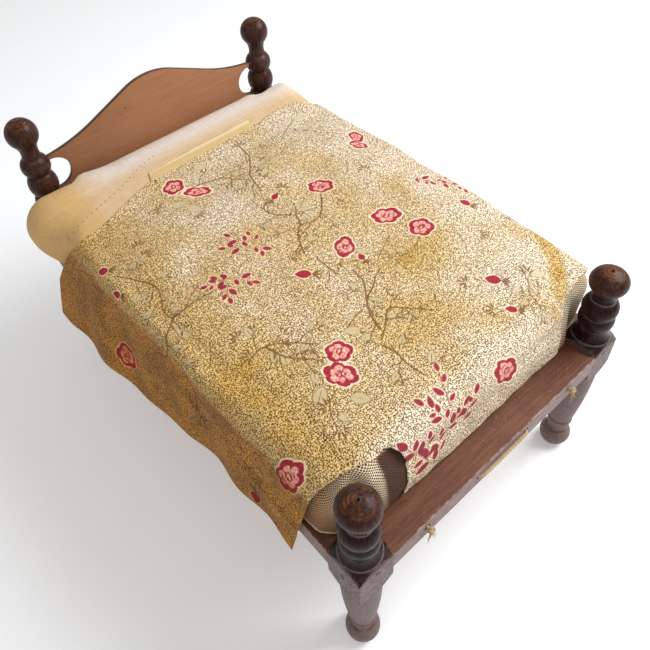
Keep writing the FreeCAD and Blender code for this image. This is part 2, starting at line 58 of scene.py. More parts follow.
POST_LOW, POST_HIGH = box_mm("foot_post_right")
POST_X = (POST_LOW[0] + POST_HIGH[0]) / 2
POST_Y = -(POST_LOW[1] + POST_HIGH[1]) / 2
HALF_STOCK = (POST_HIGH[0] - POST_LOW[0]) / 2
FRAME_X = POST_X + HALF_STOCK
FRAME_Y = POST_Y + HALF_STOCK
RAIL_TOP = box_mm("foot_rail")[1][2]
TICK_LOW, TICK_HIGH = box_mm("mattress_tick")
BOLSTER_LOW, BOLSTER_HIGH = box_mm("bolster_case")
COVER_LOW, _ = box_mm("coverlet")


# ------------------------------------------------------------------ numbers


def smooth(low, high, value):
    """0 below low, 1 above high, with an eased rise between."""
    t = np.clip((np.asarray(value, float) - low) / (high - low), 0, 1)
    return t * t * (3 - 2 * t)


def ripple(u, v, length, seed, count=9):
    """Unevenness of about -1 to 1, from waves roughly that long."""
    rng = np.random.default_rng(seed)
    total = np.zeros(np.broadcast(u, v).shape)
    for _ in range(count):
        angle, phase = rng.uniform(0, math.tau, 2)
        rate = math.tau / (length * rng.uniform(0.7, 1.6))
        along = u * math.cos(angle) + v * math.sin(angle)
        total += np.cos(rate * along + phase)
    return total / (1.2 * math.sqrt(count))


def curve_through(points, step):
    """A Catmull-Rom curve through the points, one sample every step or so."""
    points = np.array(points, float)
    padded = np.vstack([2 * points[0] - points[1], points, 2 * points[-1] - points[-2]])
    out = []
    for a, b, c, d in zip(padded, padded[1:], padded[2:], padded[3:]):
        pieces = max(2, int(np.linalg.norm(c - b) / step))
        for t in np.linspace(0, 1, pieces, endpoint=False):
            out.append(
                0.5
                * (
                    2 * b
                    + (c - a) * t
                    + (2 * a - 5 * b + 4 * c - d) * t**2
                    + (3 * b - a - 3 * c + d) * t**3
                )
            )
    out.append(points[-1])
    return np.array(out)


def travel_along(path):
    """Distance travelled from the start to each point of the path."""
    return np.concatenate([[0], np.cumsum(np.linalg.norm(np.diff(path, axis=0), axis=1))])


def points_at(path, places):
    """The points of a path after those distances."""
    travel = travel_along(path)
    return np.stack([np.interp(places, travel, path[:, k]) for k in range(3)], 1)


def frames_along(path):
    """Unit vectors sideways and upwards from each point of a path."""
    ahead = np.gradient(path, axis=0)
    ahead /= np.linalg.norm(ahead, axis=1)[:, None]
    side = np.cross(ahead[0], [0.3, 0.2, 1.0])
    sides = []
    for forward in ahead:
        side = side - forward * (side @ forward)
        side /= np.linalg.norm(side)
        sides.append(side)
    return np.array(sides), np.cross(ahead, sides)


# ----------------------------------------------------------------- material


class Wire:
    """A node's output; sums done with it add the math nodes that do them."""

    def __init__(self, paint, socket):
        self.paint, self.socket = paint, socket

    def __add__(self, other):
        return self.paint.math("ADD", self, other)

    def __sub__(self, other):
        return self.paint.math("SUBTRACT", self, other)

    def __mul__(self, other):
        return self.paint.math("MULTIPLY", self, other)

    def __abs__(self):
        return self.paint.math("ABSOLUTE", self)

    __radd__, __rmul__ = __add__, __mul__


class Paint:
    """A node material; each method adds nodes and returns their output."""

    def __init__(self, name):
        self.material = bpy.data.materials.new(name)
        self.material.use_nodes = True
        self.tree = self.material.node_tree
        self.shader = self.tree.nodes["Principled BSDF"]

    def put(self, socket, value):
        if isinstance(value, Wire):
            self.tree.links.new(value.socket, socket)
        elif isinstance(value, tuple) and len(value) == 3 and socket.type == "RGBA":
            socket.default_value = (*value, 1)
        else:
            socket.default_value = value

    def node(self, kind, inputs, output, **settings):
        node = self.tree.nodes.new("ShaderNode" + kind)
        for key, value in settings.items():
            setattr(node, key, value)
        for key, value in inputs.items():
            self.put(node.inputs[key], value)
        return Wire(self, node.outputs[output])

    def math(self, operation, *values):
        inputs = dict(enumerate(values))
        return self.node("Math", inputs, 0, operation=operation)

    def step(self, low, high, value):
        inputs = {"Value": value, "From Min": low, "From Max": high}
        return self.node("MapRange", inputs, 0, interpolation_type="SMOOTHSTEP")

    def mix(self, factor, a, b, blend="MIX"):
        inputs = {0: factor, 6: a, 7: b}
        return self.node("Mix", inputs, 2, data_type="RGBA", blend_type=blend)

    def hypot(self, a, b):
        return self.math("SQRT", a * a + b * b)

    def tint(self, factor, color, by):
        """The colour multiplied by another, as far as the factor says."""
        return self.mix(factor, color, self.mix(1.0, color, by, "MULTIPLY"))

    def place(self):
        """The point's place in the frame, in millimetres."""
        point = self.node("TexCoord", {}, "Object")
        return self.scale(point, (1000, 1000, 1000))

    def scale(self, vector, factors):
        inputs = {0: vector, 1: factors}
        return self.node("VectorMath", inputs, 0, operation="MULTIPLY")

    def split(self, vector):
        node = self.tree.nodes.new("ShaderNodeSeparateXYZ")
        self.put(node.inputs[0], vector)
        return [Wire(self, output) for output in node.outputs]

    def join(self, x, y, z):
        return self.node("CombineXYZ", {0: x, 1: y, 2: z}, 0)

    def noise(self, vector, rate, detail=2.0, roughness=0.5, distortion=0.0):
        inputs = {
            "Vector": vector,
            "Scale": rate,
            "Detail": detail,
            "Roughness": roughness,
            "Distortion": distortion,
        }
        return self.node("TexNoise", inputs, "Fac")

    def attribute(self, name):
        return self.node("Attribute", {}, "Fac", attribute_name=name)

    def bump(self, height, distance, normal=None):
        inputs = {"Height": height, "Distance": distance * MM}
        if normal is not None:
            inputs["Normal"] = normal
        return self.node("Bump", inputs, 0)

    def finish(self, color, roughness, normal=None, **others):
        self.put(self.shader.inputs["Base Color"], color)
        self.put(self.shader.inputs["Roughness"], roughness)
        if normal is not None:
            self.put(self.shader.inputs["Normal"], normal)
        for key, value in others.items():
            self.put(self.shader.inputs[key.replace("_", " ")], value)
        return self.material


def from_post(paint):
    """How far the point is from a post's axis, squarely and round it; its height."""
    x, y, z = paint.split(paint.place())
    out_x, out_y = abs(x) - POST_X, abs(y) - POST_Y
    square = paint.math("MAXIMUM", abs(out_x), abs(out_y))
    return square, paint.hypot(out_x, out_y), z


BEAD_HEIGHTS = (156.0, 167.5, 180.0, 195.5, 204.5)


def post_wood():
    """Dark stained turnings with dusty, unpolished square faces."""
    paint = Paint("post_wood")
    place = paint.place()
    square, radius, height = from_post(paint)
    flat = paint.step(HALF_STOCK - 0.12, HALF_STOCK - 0.02, square)
    streaks = paint.noise(paint.scale(place, (1, 1, 0.12)), 0.55, 5, 0.62, 0.4)
    pores = paint.noise(paint.scale(place, (1, 1, 0.1)), 2.6, 3, 0.6)
    clouds = paint.noise(place, 0.045, 3, 0.6)
    dark = paint.mix(paint.step(0.35, 0.7, streaks), (0.024, 0.010, 0.008), (0.080, 0.029, 0.017))
    dark = paint.mix(paint.step(0.5, 0.8, clouds), dark, (0.075, 0.036, 0.029))
    speckle = paint.noise(paint.scale(place, (1, 1, 0.45)), 1.5, 4, 0.75, 0.8)
    dusty = paint.mix(paint.step(0.4, 0.62, speckle), (0.085, 0.058, 0.056), (0.29, 0.215, 0.205))
    cracks = paint.noise(paint.scale(place, (1.4, 1.4, 0.16)), 0.75, 2, 0.5, 0.6)
    dusty = paint.mix(paint.step(0.72, 0.76, cracks), dusty, (0.02, 0.012, 0.012))
    below = paint.step(118, 108, height)
    leg = paint.mix(paint.step(0.35, 0.68, speckle), (0.10, 0.066, 0.060), (0.26, 0.185, 0.17))
    color = paint.mix(below, dark, leg)
    color = paint.mix(flat, color, dusty)
    # the ball tops are worn red-brown along their growth rings
    rings = paint.math("SINE", radius * 2.6)
    _, _, upward = paint.split(paint.node("NewGeometry", {}, "Normal"))
    crown = paint.step(12, 8, radius) * paint.step(0.45, 0.75, upward)
    worn = crown * paint.step(0.42, 0.62, paint.noise(place, 0.16, 3))
    reddish = paint.mix(paint.step(-0.4, 0.6, rings), (0.085, 0.028, 0.013), (0.18, 0.068, 0.026))
    color = paint.mix(worn * 0.8, color, reddish)
    # sharp edges are rubbed pale in patches
    edges = paint.node("NewGeometry", {}, "Pointiness")
    patchy = paint.step(0.4, 0.7, paint.noise(place, 0.3, 3))
    rubbed = paint.step(0.515, 0.56, edges) * patchy
    color = paint.mix(rubbed * 0.55, color, (0.34, 0.27, 0.24))
    rough = 0.34 + 0.36 * flat + 0.2 * (pores - 0.5) + 0.18 * below
    normal = paint.bump(pores, 0.10)
    lathe = paint.math("SINE", height * 5.5)
    normal = paint.bump(lathe, 0.012, normal)
    normal = paint.bump(speckle * flat, 0.35, normal)
    # the foot posts' necks are darker, with pale lines on their beads, partly worn finish and partly
    # painted highlight
    front = paint.step(-100, -110, paint.split(place)[1])
    neck = front * paint.step(212, 200, height) * paint.step(146, 152, height)
    color = paint.tint(neck * 0.95, color, (0.4, 0.36, 0.36))
    for bead in BEAD_HEIGHTS:
        off = abs(height - bead)
        mark = paint.step(0.75, 0.35, off) * paint.step(0.35, 0.6, speckle) * front * 0.45
        color = paint.mix(mark, color, (0.32, 0.26, 0.25))
    gloss = {"Specular_IOR_Level": 0.10, "Coat_Weight": 0.05, "Coat_Roughness": 0.12}
    return paint.finish(color, rough, normal, **gloss)


def rail_wood():
    """Brown rails: scratched tops, dusty outer faces, a pale worn arris."""
    paint = Paint("rail_wood")
    place = paint.place()
    x, y, z = paint.split(place)
    along_x = paint.step(FRAME_Y - 27, FRAME_Y - 26, abs(y))
    cross = paint.mix(along_x, paint.scale(place, (1, 0.07, 1)), paint.scale(place, (0.07, 1, 1)))
    out = paint.math("MAXIMUM", abs(x) - FRAME_X, abs(y) - FRAME_Y)
    streaks = paint.noise(cross, 0.5, 6, 0.65, 0.5)
    pores = paint.noise(cross, 2.2, 4, 0.7)
    blotch = paint.noise(place, 0.05, 3, 0.6)
    color = paint.mix(paint.step(0.25, 0.75, streaks), (0.090, 0.028, 0.012), (0.190, 0.065, 0.028))
    color = paint.mix(0.6 * paint.step(0.52, 0.68, pores), color, (0.215, 0.082, 0.04))
    color = paint.mix(0.7 * paint.step(0.5, 0.75, blotch), color, (0.115, 0.036, 0.019))
    # scratches in two directions across the tops
    turned = paint.node("Mapping", {"Vector": place, "Rotation": (0, 0, 0.9)}, 0)
    scratches = paint.noise(paint.scale(turned, (1, 0.05, 1)), 1.1, 2, 0.5, 0.3)
    turned = paint.node("Mapping", {"Vector": place, "Rotation": (0, 0, -0.5)}, 0)
    more = paint.noise(paint.scale(turned, (1, 0.06, 1)), 0.9, 2, 0.5, 0.3)
    scratches = paint.math("MAXIMUM", scratches, more)
    scored = paint.step(0.69, 0.74, scratches)
    color = paint.mix(0.5 * scored, color, (0.42, 0.26, 0.16))
    face = paint.step(-0.4, -0.05, out)
    dust = paint.noise(cross, 1.0, 4, 0.7)
    dusty = paint.mix(paint.step(0.38, 0.62, dust), (0.15, 0.095, 0.082), (0.31, 0.215, 0.19))
    color = paint.mix(face, color, dusty)
    arris = paint.step(-1.5, -0.3, out) * paint.step(RAIL_TOP - 1.6, RAIL_TOP - 0.3, z)
    worn = arris * paint.step(0.4, 0.62, paint.noise(place, 0.22, 4))
    color = paint.mix(worn * 0.6, color, (0.46, 0.33, 0.24))
    rough = 0.46 + 0.22 * pores
    normal = paint.bump(streaks, 0.25)
    normal = paint.bump(pores, 0.12, normal)
    normal = paint.bump(scored, -0.08, normal)
    return paint.finish(color, rough, normal, Specular_IOR_Level=0.32)


# place across and up the board, and radius
PIN_KNOTS = ((-30, 252, 1.5), (12, 238, 1.1), (-72, 214, 1.2), (41, 226, 0.9))


def headboard_wood():
    """Lighter red-brown board with its grain running across the bed."""
    paint = Paint("headboard_wood")
    place = paint.place()
    x, _, z = paint.split(place)
    grain_place = paint.scale(place, (0.055, 1, 1))
    grain = paint.noise(grain_place, 0.34, 5, 0.6, 0.8)
    fine = paint.noise(paint.scale(place, (0.04, 1, 1)), 2.4, 3, 0.6)
    clouds = paint.noise(place, 0.02, 3, 0.55)
    color = paint.mix(paint.step(0.2, 0.8, grain), (0.295, 0.120, 0.052), (0.395, 0.170, 0.076))
    color = paint.mix(0.5 * paint.step(0.45, 0.7, fine), color, (0.38, 0.17, 0.085))
    color = paint.mix(0.6 * paint.step(0.4, 0.7, clouds), color, (0.38, 0.17, 0.08))
    # painted shade: the board is darkened towards its left end
    color = paint.tint(paint.step(20, -120, x), color, (0.72, 0.70, 0.66))
    _, facing, _ = paint.split(paint.node("NewGeometry", {}, "Normal"))
    # the sawn edge is stained darker than the two faces
    edge = paint.step(0.85, 0.5, abs(facing))
    color = paint.mix(edge, color, (0.075, 0.034, 0.022))
    for knot_x, knot_z, size in PIN_KNOTS:
        spread = paint.hypot(x - knot_x, (z - knot_z) * 1.8)
        color = paint.mix(paint.step(size, size * 0.3, spread), color, (0.05, 0.018, 0.010))
    normal = paint.bump(grain, 0.25)
    normal = paint.bump(fine, 0.08, normal)
    return paint.finish(color, 0.42 + 0.2 * fine, normal)


def peg_wood():
    """End grain of the pegs, darkened."""
    paint = Paint("peg_wood")
    place = paint.place()
    rings = paint.noise(place, 1.8, 4, 0.7)
    color = paint.mix(paint.step(0.35, 0.65, rings), (0.030, 0.014, 0.010), (0.11, 0.055, 0.036))
    return paint.finish(color, 0.6, paint.bump(rings, 0.15))


def hemp(name, pale, dark):
    """Twisted bast fibre, hairy and uneven."""
    paint = Paint(name)
    place = paint.place()
    fibre = paint.noise(place, 2.6, 4, 0.75, 1.5)
    stain = paint.noise(place, 0.09, 3, 0.6)
    color = paint.mix(paint.step(0.3, 0.7, fibre), dark, pale)
    color = paint.mix(0.6 * paint.step(0.5, 0.75, stain), color, dark)
    return paint.finish(color, 0.85, paint.bump(fibre, 0.25))


def checks(paint, u, v, pitch):
    """A check with squares of that size, from -1 to 1."""
    rate = math.pi / pitch
    warp = paint.math("SINE", u * rate)
    weft = paint.math("SINE", v * rate)
    return warp * weft


def woven(paint, u, v, pitch):
    """Height of a plain weave with that thread pitch, 0 to 1."""
    return checks(paint, u, v, pitch) * 0.5 + 0.5


def flat_place(paint):
    """The point's place on the flat cloth, across and along, in millimetres."""
    u, v, _ = paint.split(paint.node("UVMap", {}, 0, uv_map="UVMap"))
    return u * 1000.0, v * 1000.0


CHECK_PITCH = 1.4
LINEN_PITCH = 0.42
CHINTZ_PITCH = 0.5


def homespun():
    """Coarse cream and brown check of the mattress tick."""
    paint = Paint("mattress_homespun")
    u, v = flat_place(paint)
    place = paint.place()
    slub = paint.noise(place, 0.6, 3, 0.6)
    u = u + slub * 0.5
    dots = checks(paint, u, v, CHECK_PITCH)
    stain = paint.noise(place, 0.03, 3, 0.6)
    cream = paint.mix(paint.step(0.35, 0.7, stain), (0.93, 0.77, 0.57), (0.80, 0.58, 0.33))
    color = paint.mix(paint.step(0.0, 0.15, dots), cream, (0.045, 0.022, 0.013))
    x, y, z = paint.split(place)
    # darker low down with painted shade, a dark red-brown band by the notch, golden at the left foot
    # corner with painted shade there too
    painted_shade_low = paint.step(186, 160, z)
    color = paint.tint(painted_shade_low * 0.8, color, (0.42, 0.26, 0.13))
    wavy_x = slub * 3.0 + x
    band = paint.step(-93, -89, wavy_x) * paint.step(-66, -70, x)
    front = band * paint.step(-184, -187, y)
    color = paint.mix(front, color, (0.068, 0.024, 0.010))
    # painted shade deepens the golden tint at the left foot corner
    golden = paint.step(-112, -134, x) * paint.step(-120, -165, y)
    color = paint.tint(golden * 0.75, color, (0.62, 0.36, 0.12))
    normal = paint.bump(woven(paint, u, v, CHECK_PITCH), 0.35)
    return paint.finish(color, 0.88, normal)


def linen():
    """Fine pinkish linen of the bolster, with slubs and a golden end."""
    paint = Paint("bolster_linen")
    u, v = flat_place(paint)
    place = paint.place()
    x, y, z = paint.split(place)
    cell = woven(paint, u, v, LINEN_PITCH)
    warp = paint.noise(paint.join(u, v * 0.035, 0.0), 1.4, 2, 0.5)
    weft = paint.noise(paint.join(u * 0.035, v, 7.0), 1.6, 2, 0.5)
    thread = paint.math("MAXIMUM", warp, weft)
    stain = paint.noise(place, 0.025, 4, 0.6)
    color = paint.mix(paint.step(0.42, 0.72, thread), (0.66, 0.555, 0.47), (0.78, 0.685, 0.605))
    color = paint.mix(0.4 * paint.step(0.45, 0.7, stain), color, (0.68, 0.56, 0.45))
    # yellowed at the left end, along the front and low down
    wavy_left = stain * 60.0 + x
    golden = paint.step(-42, -92, wavy_left)
    front = paint.step(172, 150, y)
    warm = paint.math("MAXIMUM", golden, front * 0.75)
    color = paint.tint(warm, color, (0.86, 0.61, 0.27))
    low = paint.step(192, 165, z)
    color = paint.tint(low * 0.5, color, (0.95, 0.74, 0.46))
    normal = paint.bump(cell, 0.05)
    normal = paint.bump(thread, 0.18, normal)
    return paint.finish(color, 0.8, normal)


def plain_cloth(name, pale, dark):
    """Unprinted back of the coverlet."""
    paint = Paint(name)
    place = paint.place()
    weave = paint.noise(place, 2.0, 3, 0.7)
    stain = paint.noise(place, 0.04, 3, 0.6)
    color = paint.mix(paint.step(0.35, 0.7, stain), pale, dark)
    return paint.finish(color, 0.85, paint.bump(weave, 0.12))


def chintz():
    """Printed coverlet: roses and vines over a fine brown vermicelli."""
    paint = Paint("coverlet_print")
    flat = paint.node("UVMap", {}, 0, uv_map="UVMap")
    flat = paint.scale(flat, (1000, 1000, 1000))
    u, v, _ = paint.split(flat)
    border_noise = paint.noise(flat, 0.011, 4, 0.6)
    patch = paint.noise(flat, 0.03, 3, 0.6)
    # gold holds the yellowing, with painted shade on the left and painted light on the right and foot
    gold = paint.attribute("gold") + patch - 0.5
    cream = paint.mix(paint.step(0.0, 0.7, gold), (0.96, 0.80, 0.585), (0.80, 0.562, 0.238))
    cream = paint.mix(paint.step(0.65, 1.15, gold), cream, (0.66, 0.375, 0.075))
    brown = paint.mix(paint.step(0.1, 0.8, gold), (0.140, 0.068, 0.026), (0.125, 0.050, 0.007))
    # vermicelli: the edges of small bent cells, broken by gaps
    warp_u, warp_v = paint.noise(flat, 0.9, 1), paint.noise(paint.scale(flat, (-1, -1, 1)), 0.9, 1)
    shift = paint.scale(paint.join(warp_u, warp_v, 0.0), (1.7, 1.7, 0))
    bent = paint.node("VectorMath", {0: flat, 1: shift}, 0, operation="ADD")
    cells = {"Vector": bent, "Scale": 0.60}
    ways = {"voronoi_dimensions": "2D", "feature": "DISTANCE_TO_EDGE"}
    edge = paint.node("TexVoronoi", cells, "Distance", **ways)
    gaps = paint.step(0.38, 0.46, paint.noise(flat, 0.55, 1))
    line = paint.step(0.2, 0.13, edge) * gaps
    red, pink = paint.attribute("red"), paint.attribute("pink")
    stem, leaf = paint.attribute("stem"), paint.attribute("leaf")
    # edges that wander as a block print's do
    wobble = (paint.noise(flat, 1.3, 2) - 0.5) * 0.7
    ragged = (paint.noise(flat, 0.55, 3, 0.65) - 0.5) * 2.0
    red = red + wobble + ragged
    pink = pink + wobble + ragged
    stem = stem + wobble * 0.4
    wine = paint.attribute("wine")
    clear = paint.step(0.9, 1.6, red) * paint.step(-0.3, 0.3, leaf) * paint.step(0.2, 0.8, wine)
    ground = paint.mix(line * clear, cream, brown)
    ground = paint.mix(paint.step(1.1, 0.7, red), ground, (0.84, 0.66, 0.47))
    wine = wine + wobble
    veins = paint.noise(flat, 0.9, 3, 0.6)
    green = paint.mix(paint.step(0.4, 0.6, veins), (0.36, 0.31, 0.175), (0.50, 0.42, 0.25))
    rim = paint.step(0.75, 0.25, abs(leaf))
    ground = paint.mix(0.6 * rim, ground, (0.25, 0.15, 0.06))
    color = paint.mix(0.62 * paint.step(0.1, -0.3, leaf), ground, green)
    color = paint.mix(0.9 * paint.step(0.34, 0.04, stem), color, (0.19, 0.088, 0.02))
    dull = paint.mix(paint.noise(flat, 0.8, 3, 0.6), (0.17, 0.016, 0.024), (0.36, 0.050, 0.062))
    dull = paint.mix(paint.step(-1.0, -0.5, wine), dull, (0.56, 0.15, 0.15))
    color = paint.mix(paint.step(0.15, -0.25, wine), color, dull)
    tone = paint.noise(flat, 0.5, 3, 0.6)
    crimson = paint.mix(paint.step(0.35, 0.7, tone), (0.28, 0.013, 0.024), (0.47, 0.036, 0.060))
    color = paint.mix(paint.step(0.12, -0.12, red), color, crimson)
    rose = paint.mix(paint.step(0.40, 0.62, tone), (0.86, 0.50, 0.37), (0.70, 0.20, 0.18))
    color = paint.mix(paint.step(0.12, -0.12, pink), color, rose)
    # the strip at the head left bare
    selvage = paint.attribute("selvage")
    bare = paint.mix(paint.noise(flat, 0.3, 3), (0.58, 0.39, 0.15), (0.68, 0.48, 0.22))
    bare = paint.mix(paint.step(145.0, 147.0, v), bare, (0.74, 0.57, 0.37))
    color = paint.mix(paint.step(0.2, -0.2, selvage), color, bare)
    # the left drop is browned and darkened with painted shade, with a wandering border
    wavy_left = paint.step(-134, -150, border_noise * 16.0 + u)
    shade = paint.mix(paint.step(0.35, 0.65, patch), (0.41, 0.225, 0.055), (0.75, 0.47, 0.155))
    color = paint.tint(wavy_left * 0.9, color, shade)
    normal = paint.bump(woven(paint, u, v, CHINTZ_PITCH), 0.05)
    normal = paint.bump(paint.noise(flat, 0.16, 3, 0.6), 0.5, normal)
    return paint.finish(color, 0.78, normal, Specular_IOR_Level=0.2)


# -------------------------------------------------------------------- print


class Print:
    """Signed distances, in millimetres, from each vertex to the motifs."""

    FAR = 9.0

    def __init__(self, u, v):
        self.u, self.v = u, v
        self.field = {n: np.full(len(u), self.FAR) for n in ("red", "pink", "wine", "stem", "leaf")}

    def near(self, low_u, low_v, high_u, high_v):
        m = self.FAR
        inside = (self.u > low_u - m) & (self.u < high_u + m)
        inside &= (self.v > low_v - m) & (self.v < high_v + m)
        return np.nonzero(inside)[0]

    def add(self, name, chosen, distance):
        field = self.field[name]
        field[chosen] = np.minimum(field[chosen], distance)

    def local(self, at, turn, reach):
        """Vertices near a place, and their coordinates turned about it."""
        chosen = self.near(at[0] - reach, at[1] - reach, at[0] + reach, at[1] + reach)
        du, dv = self.u[chosen] - at[0], self.v[chosen] - at[1]
        cos, sin = math.cos(turn), math.sin(turn)
        return chosen, du * cos + dv * sin, dv * cos - du * sin

    def rose(self, at, size, turn, petals, squash):
        """An open rose: lobed crimson rim, pink petals, a crimson eye."""
        chosen, x, y = self.local(at, turn, size * 1.1)
        y = y / squash
        rho, theta = np.hypot(x, y) / size, np.arctan2(y, x)
        lobe = np.abs(np.sin(petals * theta / 2 + at[1])) ** 0.7
        rim = 0.80 + 0.19 * lobe + 0.06 * np.cos(2 * theta + at[0])
        self.add("red", chosen, (rho - rim) * size * squash)
        heart = 0.50 + 0.19 * lobe + 0.06 * np.cos(3 * theta + at[0])
        split = 0.26 + 0.9 * np.maximum(0.34 - rho, 0) - lobe
        eye = np.abs(rho - 0.20 - 0.06 * np.sin(2 * theta + at[0])) - 0.06
        fold = np.abs(rho - 0.40 - 0.1 * np.sin(theta + at[1])) - 0.035
        fold = np.maximum(fold, np.sin(theta * 2 + at[0]) - 0.2)
        strokes = np.minimum(np.minimum(eye, fold), -split * 0.25)
        self.add("pink", chosen, np.maximum(rho - heart, -strokes) * size * squash)

    def blade(self, name, at, length, width, turn):
        """A pointed leaf or petal whose stalk end is at that place."""
        chosen, x, y = self.local(at, turn, length)
        t = np.clip(x / length, 0, 1)
        half = width * np.sin(math.pi * t**0.85) ** 0.8 / 2
        beyond = np.maximum(-x, x - length)
        self.add(name, chosen, np.maximum(np.abs(y) - half, beyond))

    def line(self, name, points, width):
        """A stroke along a curve, given at least every millimetre or two."""
        chosen = self.near(*points.min(0), *points.max(0))
        p = np.stack([self.u[chosen], self.v[chosen]], 1)
        best = np.full(len(chosen), self.FAR)
        for a, b in zip(points, points[1:]):
            along = b - a
            t = np.clip(((p - a) @ along) / max(along @ along, 1e-9), 0, 1)
            best = np.minimum(best, np.linalg.norm(p - a - t[:, None] * along, axis=1))
        self.add(name, chosen, best - width / 2)

    def bud(self, at, turn, size):
        """A closed crimson bud on brown sepals."""
        self.blade("red", at, size, size * 0.68, turn)
        for lean in (-0.6, 0.0, 0.6):
            back = turn + math.pi + lean
            self.blade("stem", at, size * 0.7, 1.5, back)

    def sprig(self, points, blade, count, length, width):
        """A thin stem with blades in pairs and one at the tip."""
        path = curve_through(points, 2.0)
        self.line("stem", path, 0.5)
        for k in range(count):
            place = 0.12 + 0.86 * k / count
            index = min(int(place * (len(path) - 1)), len(path) - 2)
            heading = path[index + 1] - path[index]
            side = 1 if k % 2 else -1
            turn = math.atan2(heading[1], heading[0]) + side * (0.75 + 0.2 * math.sin(k * 2.3))
            start = path[index] + 1.3 * np.array([math.cos(turn), math.sin(turn)])
            scale = 1 + 0.2 * math.sin(k * 1.7)
            self.blade(blade, start, length * scale, width * scale, turn)
        tip = path[-1] - path[-2]
        self.blade(blade, path[-1], length, width, math.atan2(tip[1], tip[0]))

    def vine(self, points, width, seed):
        """A brown stem that throws off twigs, dark blades and pale leaves."""
        rng = np.random.default_rng(seed)
        path = curve_through(points, 2.0)
        self.line("stem", path, width)
        index = 3
        side = 1
        while index < len(path) - 2:
            heading = path[index + 1] - path[index]
            turn = math.atan2(heading[1], heading[0]) + side * rng.uniform(0.5, 1.1)
            reach = rng.uniform(6, 13)
            bend = turn + side * rng.uniform(-0.5, 0.5)
            end = path[index] + reach * np.array([math.cos(turn), math.sin(turn)])
            last = end + 0.5 * reach * np.array([math.cos(bend), math.sin(bend)])
            twig = curve_through([path[index], end, last], 1.5)
            self.line("stem", twig, 0.55 * width)
            if rng.random() < 0.6:
                lean = bend + side * rng.uniform(0.3, 1.0)
                leaf = rng.uniform(8, 12)
                self.blade("leaf", end, leaf, rng.uniform(4.5, 6.5), lean)
                vein = 0.7 * leaf * np.array([math.cos(lean), math.sin(lean)])
                self.line("stem", np.array([end, end + vein]), 0.3)
            for lean in (-0.7, 0.0, 0.7):
                if rng.random() < 0.8:
                    way = bend + 1.3 * lean
                    start = last + 1.2 * np.array([math.cos(way), math.sin(way)])
                    self.blade("stem", start, rng.uniform(4, 7), width, way)
            index += int(rng.integers(3, 7))
            side = -side


# ------------------------------------------------------------------- meshes


def new_mesh(name, points, faces, materials, shade=True):
    """A mesh object from points in millimetres."""
    mesh = bpy.data.meshes.new(name)
    mesh.from_pydata((np.asarray(points) * MM).tolist(), [], faces)
    for material in materials:
        mesh.materials.append(material)
    mesh.polygons.foreach_set("use_smooth", [shade] * len(mesh.polygons))
    obj = bpy.data.objects.new(name, mesh)
    bpy.context.scene.collection.objects.link(obj)
    return obj


def set_uv(obj, uv):
    """Per-corner UVs from per-vertex or per-corner values in metres."""
    mesh = obj.data
    layer = mesh.uv_layers.new(name="UVMap")
    if len(uv) != len(mesh.loops):
        corners = np.zeros(len(mesh.loops), int)
        mesh.loops.foreach_get("vertex_index", corners)
        uv = uv[corners]
    layer.data.foreach_set("uv", np.asarray(uv, np.float32).ravel())


def apply_modifiers(obj):
    """Bake the object's modifiers into its mesh."""
    scene = bpy.context.evaluated_depsgraph_get()
    mesh = bpy.data.meshes.new_from_object(obj.evaluated_get(scene))
    obj.modifiers.clear()
    old = obj.data
    obj.data = mesh
    bpy.data.meshes.remove(old)
    mesh.name = obj.name


def coordinates(obj):
    """The object's vertices in millimetres."""
    co = np.zeros(len(obj.data.vertices) * 3)
    obj.data.vertices.foreach_get("co", co)
    return co.reshape(-1, 3) / MM


def move_to(obj, points):
    obj.data.vertices.foreach_set("co", (points * MM).ravel())
    obj.data.update()


def tube(path, radius, sides=8, taper=None):
    """Points and faces of a closed tube along a path."""
    path = np.asarray(path, float)
    points = []
    for k, (centre, side, up) in enumerate(zip(path, *frames_along(path))):
        r = radius * (1 if taper is None else taper[k])
        for j in range(sides):
            a = math.tau * j / sides
            points.append(centre + r * (math.cos(a) * side + math.sin(a) * up))
    faces = []
    for k in range(len(path) - 1):
        for j in range(sides):
            a, b = k * sides + j, k * sides + (j + 1) % sides
            faces.append((a, b, b + sides, a + sides))
    faces.append(tuple(range(sides))[::-1])
    last = (len(path) - 1) * sides
    faces.append(tuple(range(last, last + sides)))
    return points, faces


def bundle(name, tubes, materials):
    """One object out of several tubes."""
    points, faces = [], []
    for tube_points, tube_faces in tubes:
        shift = len(points)
        points += list(tube_points)
        faces += [tuple(i + shift for i in face) for face in tube_faces]
    return new_mesh(name, points, faces, materials)


def strands(path, radius, pitch, count=3):
    """The strands of a laid rope whose centre line is that path."""
    path = np.asarray(path, float)
    length = travel_along(path)
    sides, ups = frames_along(path)
    out = []
    for k in range(count):
        turn = math.tau * (length / pitch + k / count)
        offset = np.cos(turn)[:, None] * sides + np.sin(turn)[:, None] * ups
        out.append(tube(path + offset * radius * 0.5, radius * 0.52, 7))
    return out


# ----------------------------------------------------------------- cushions


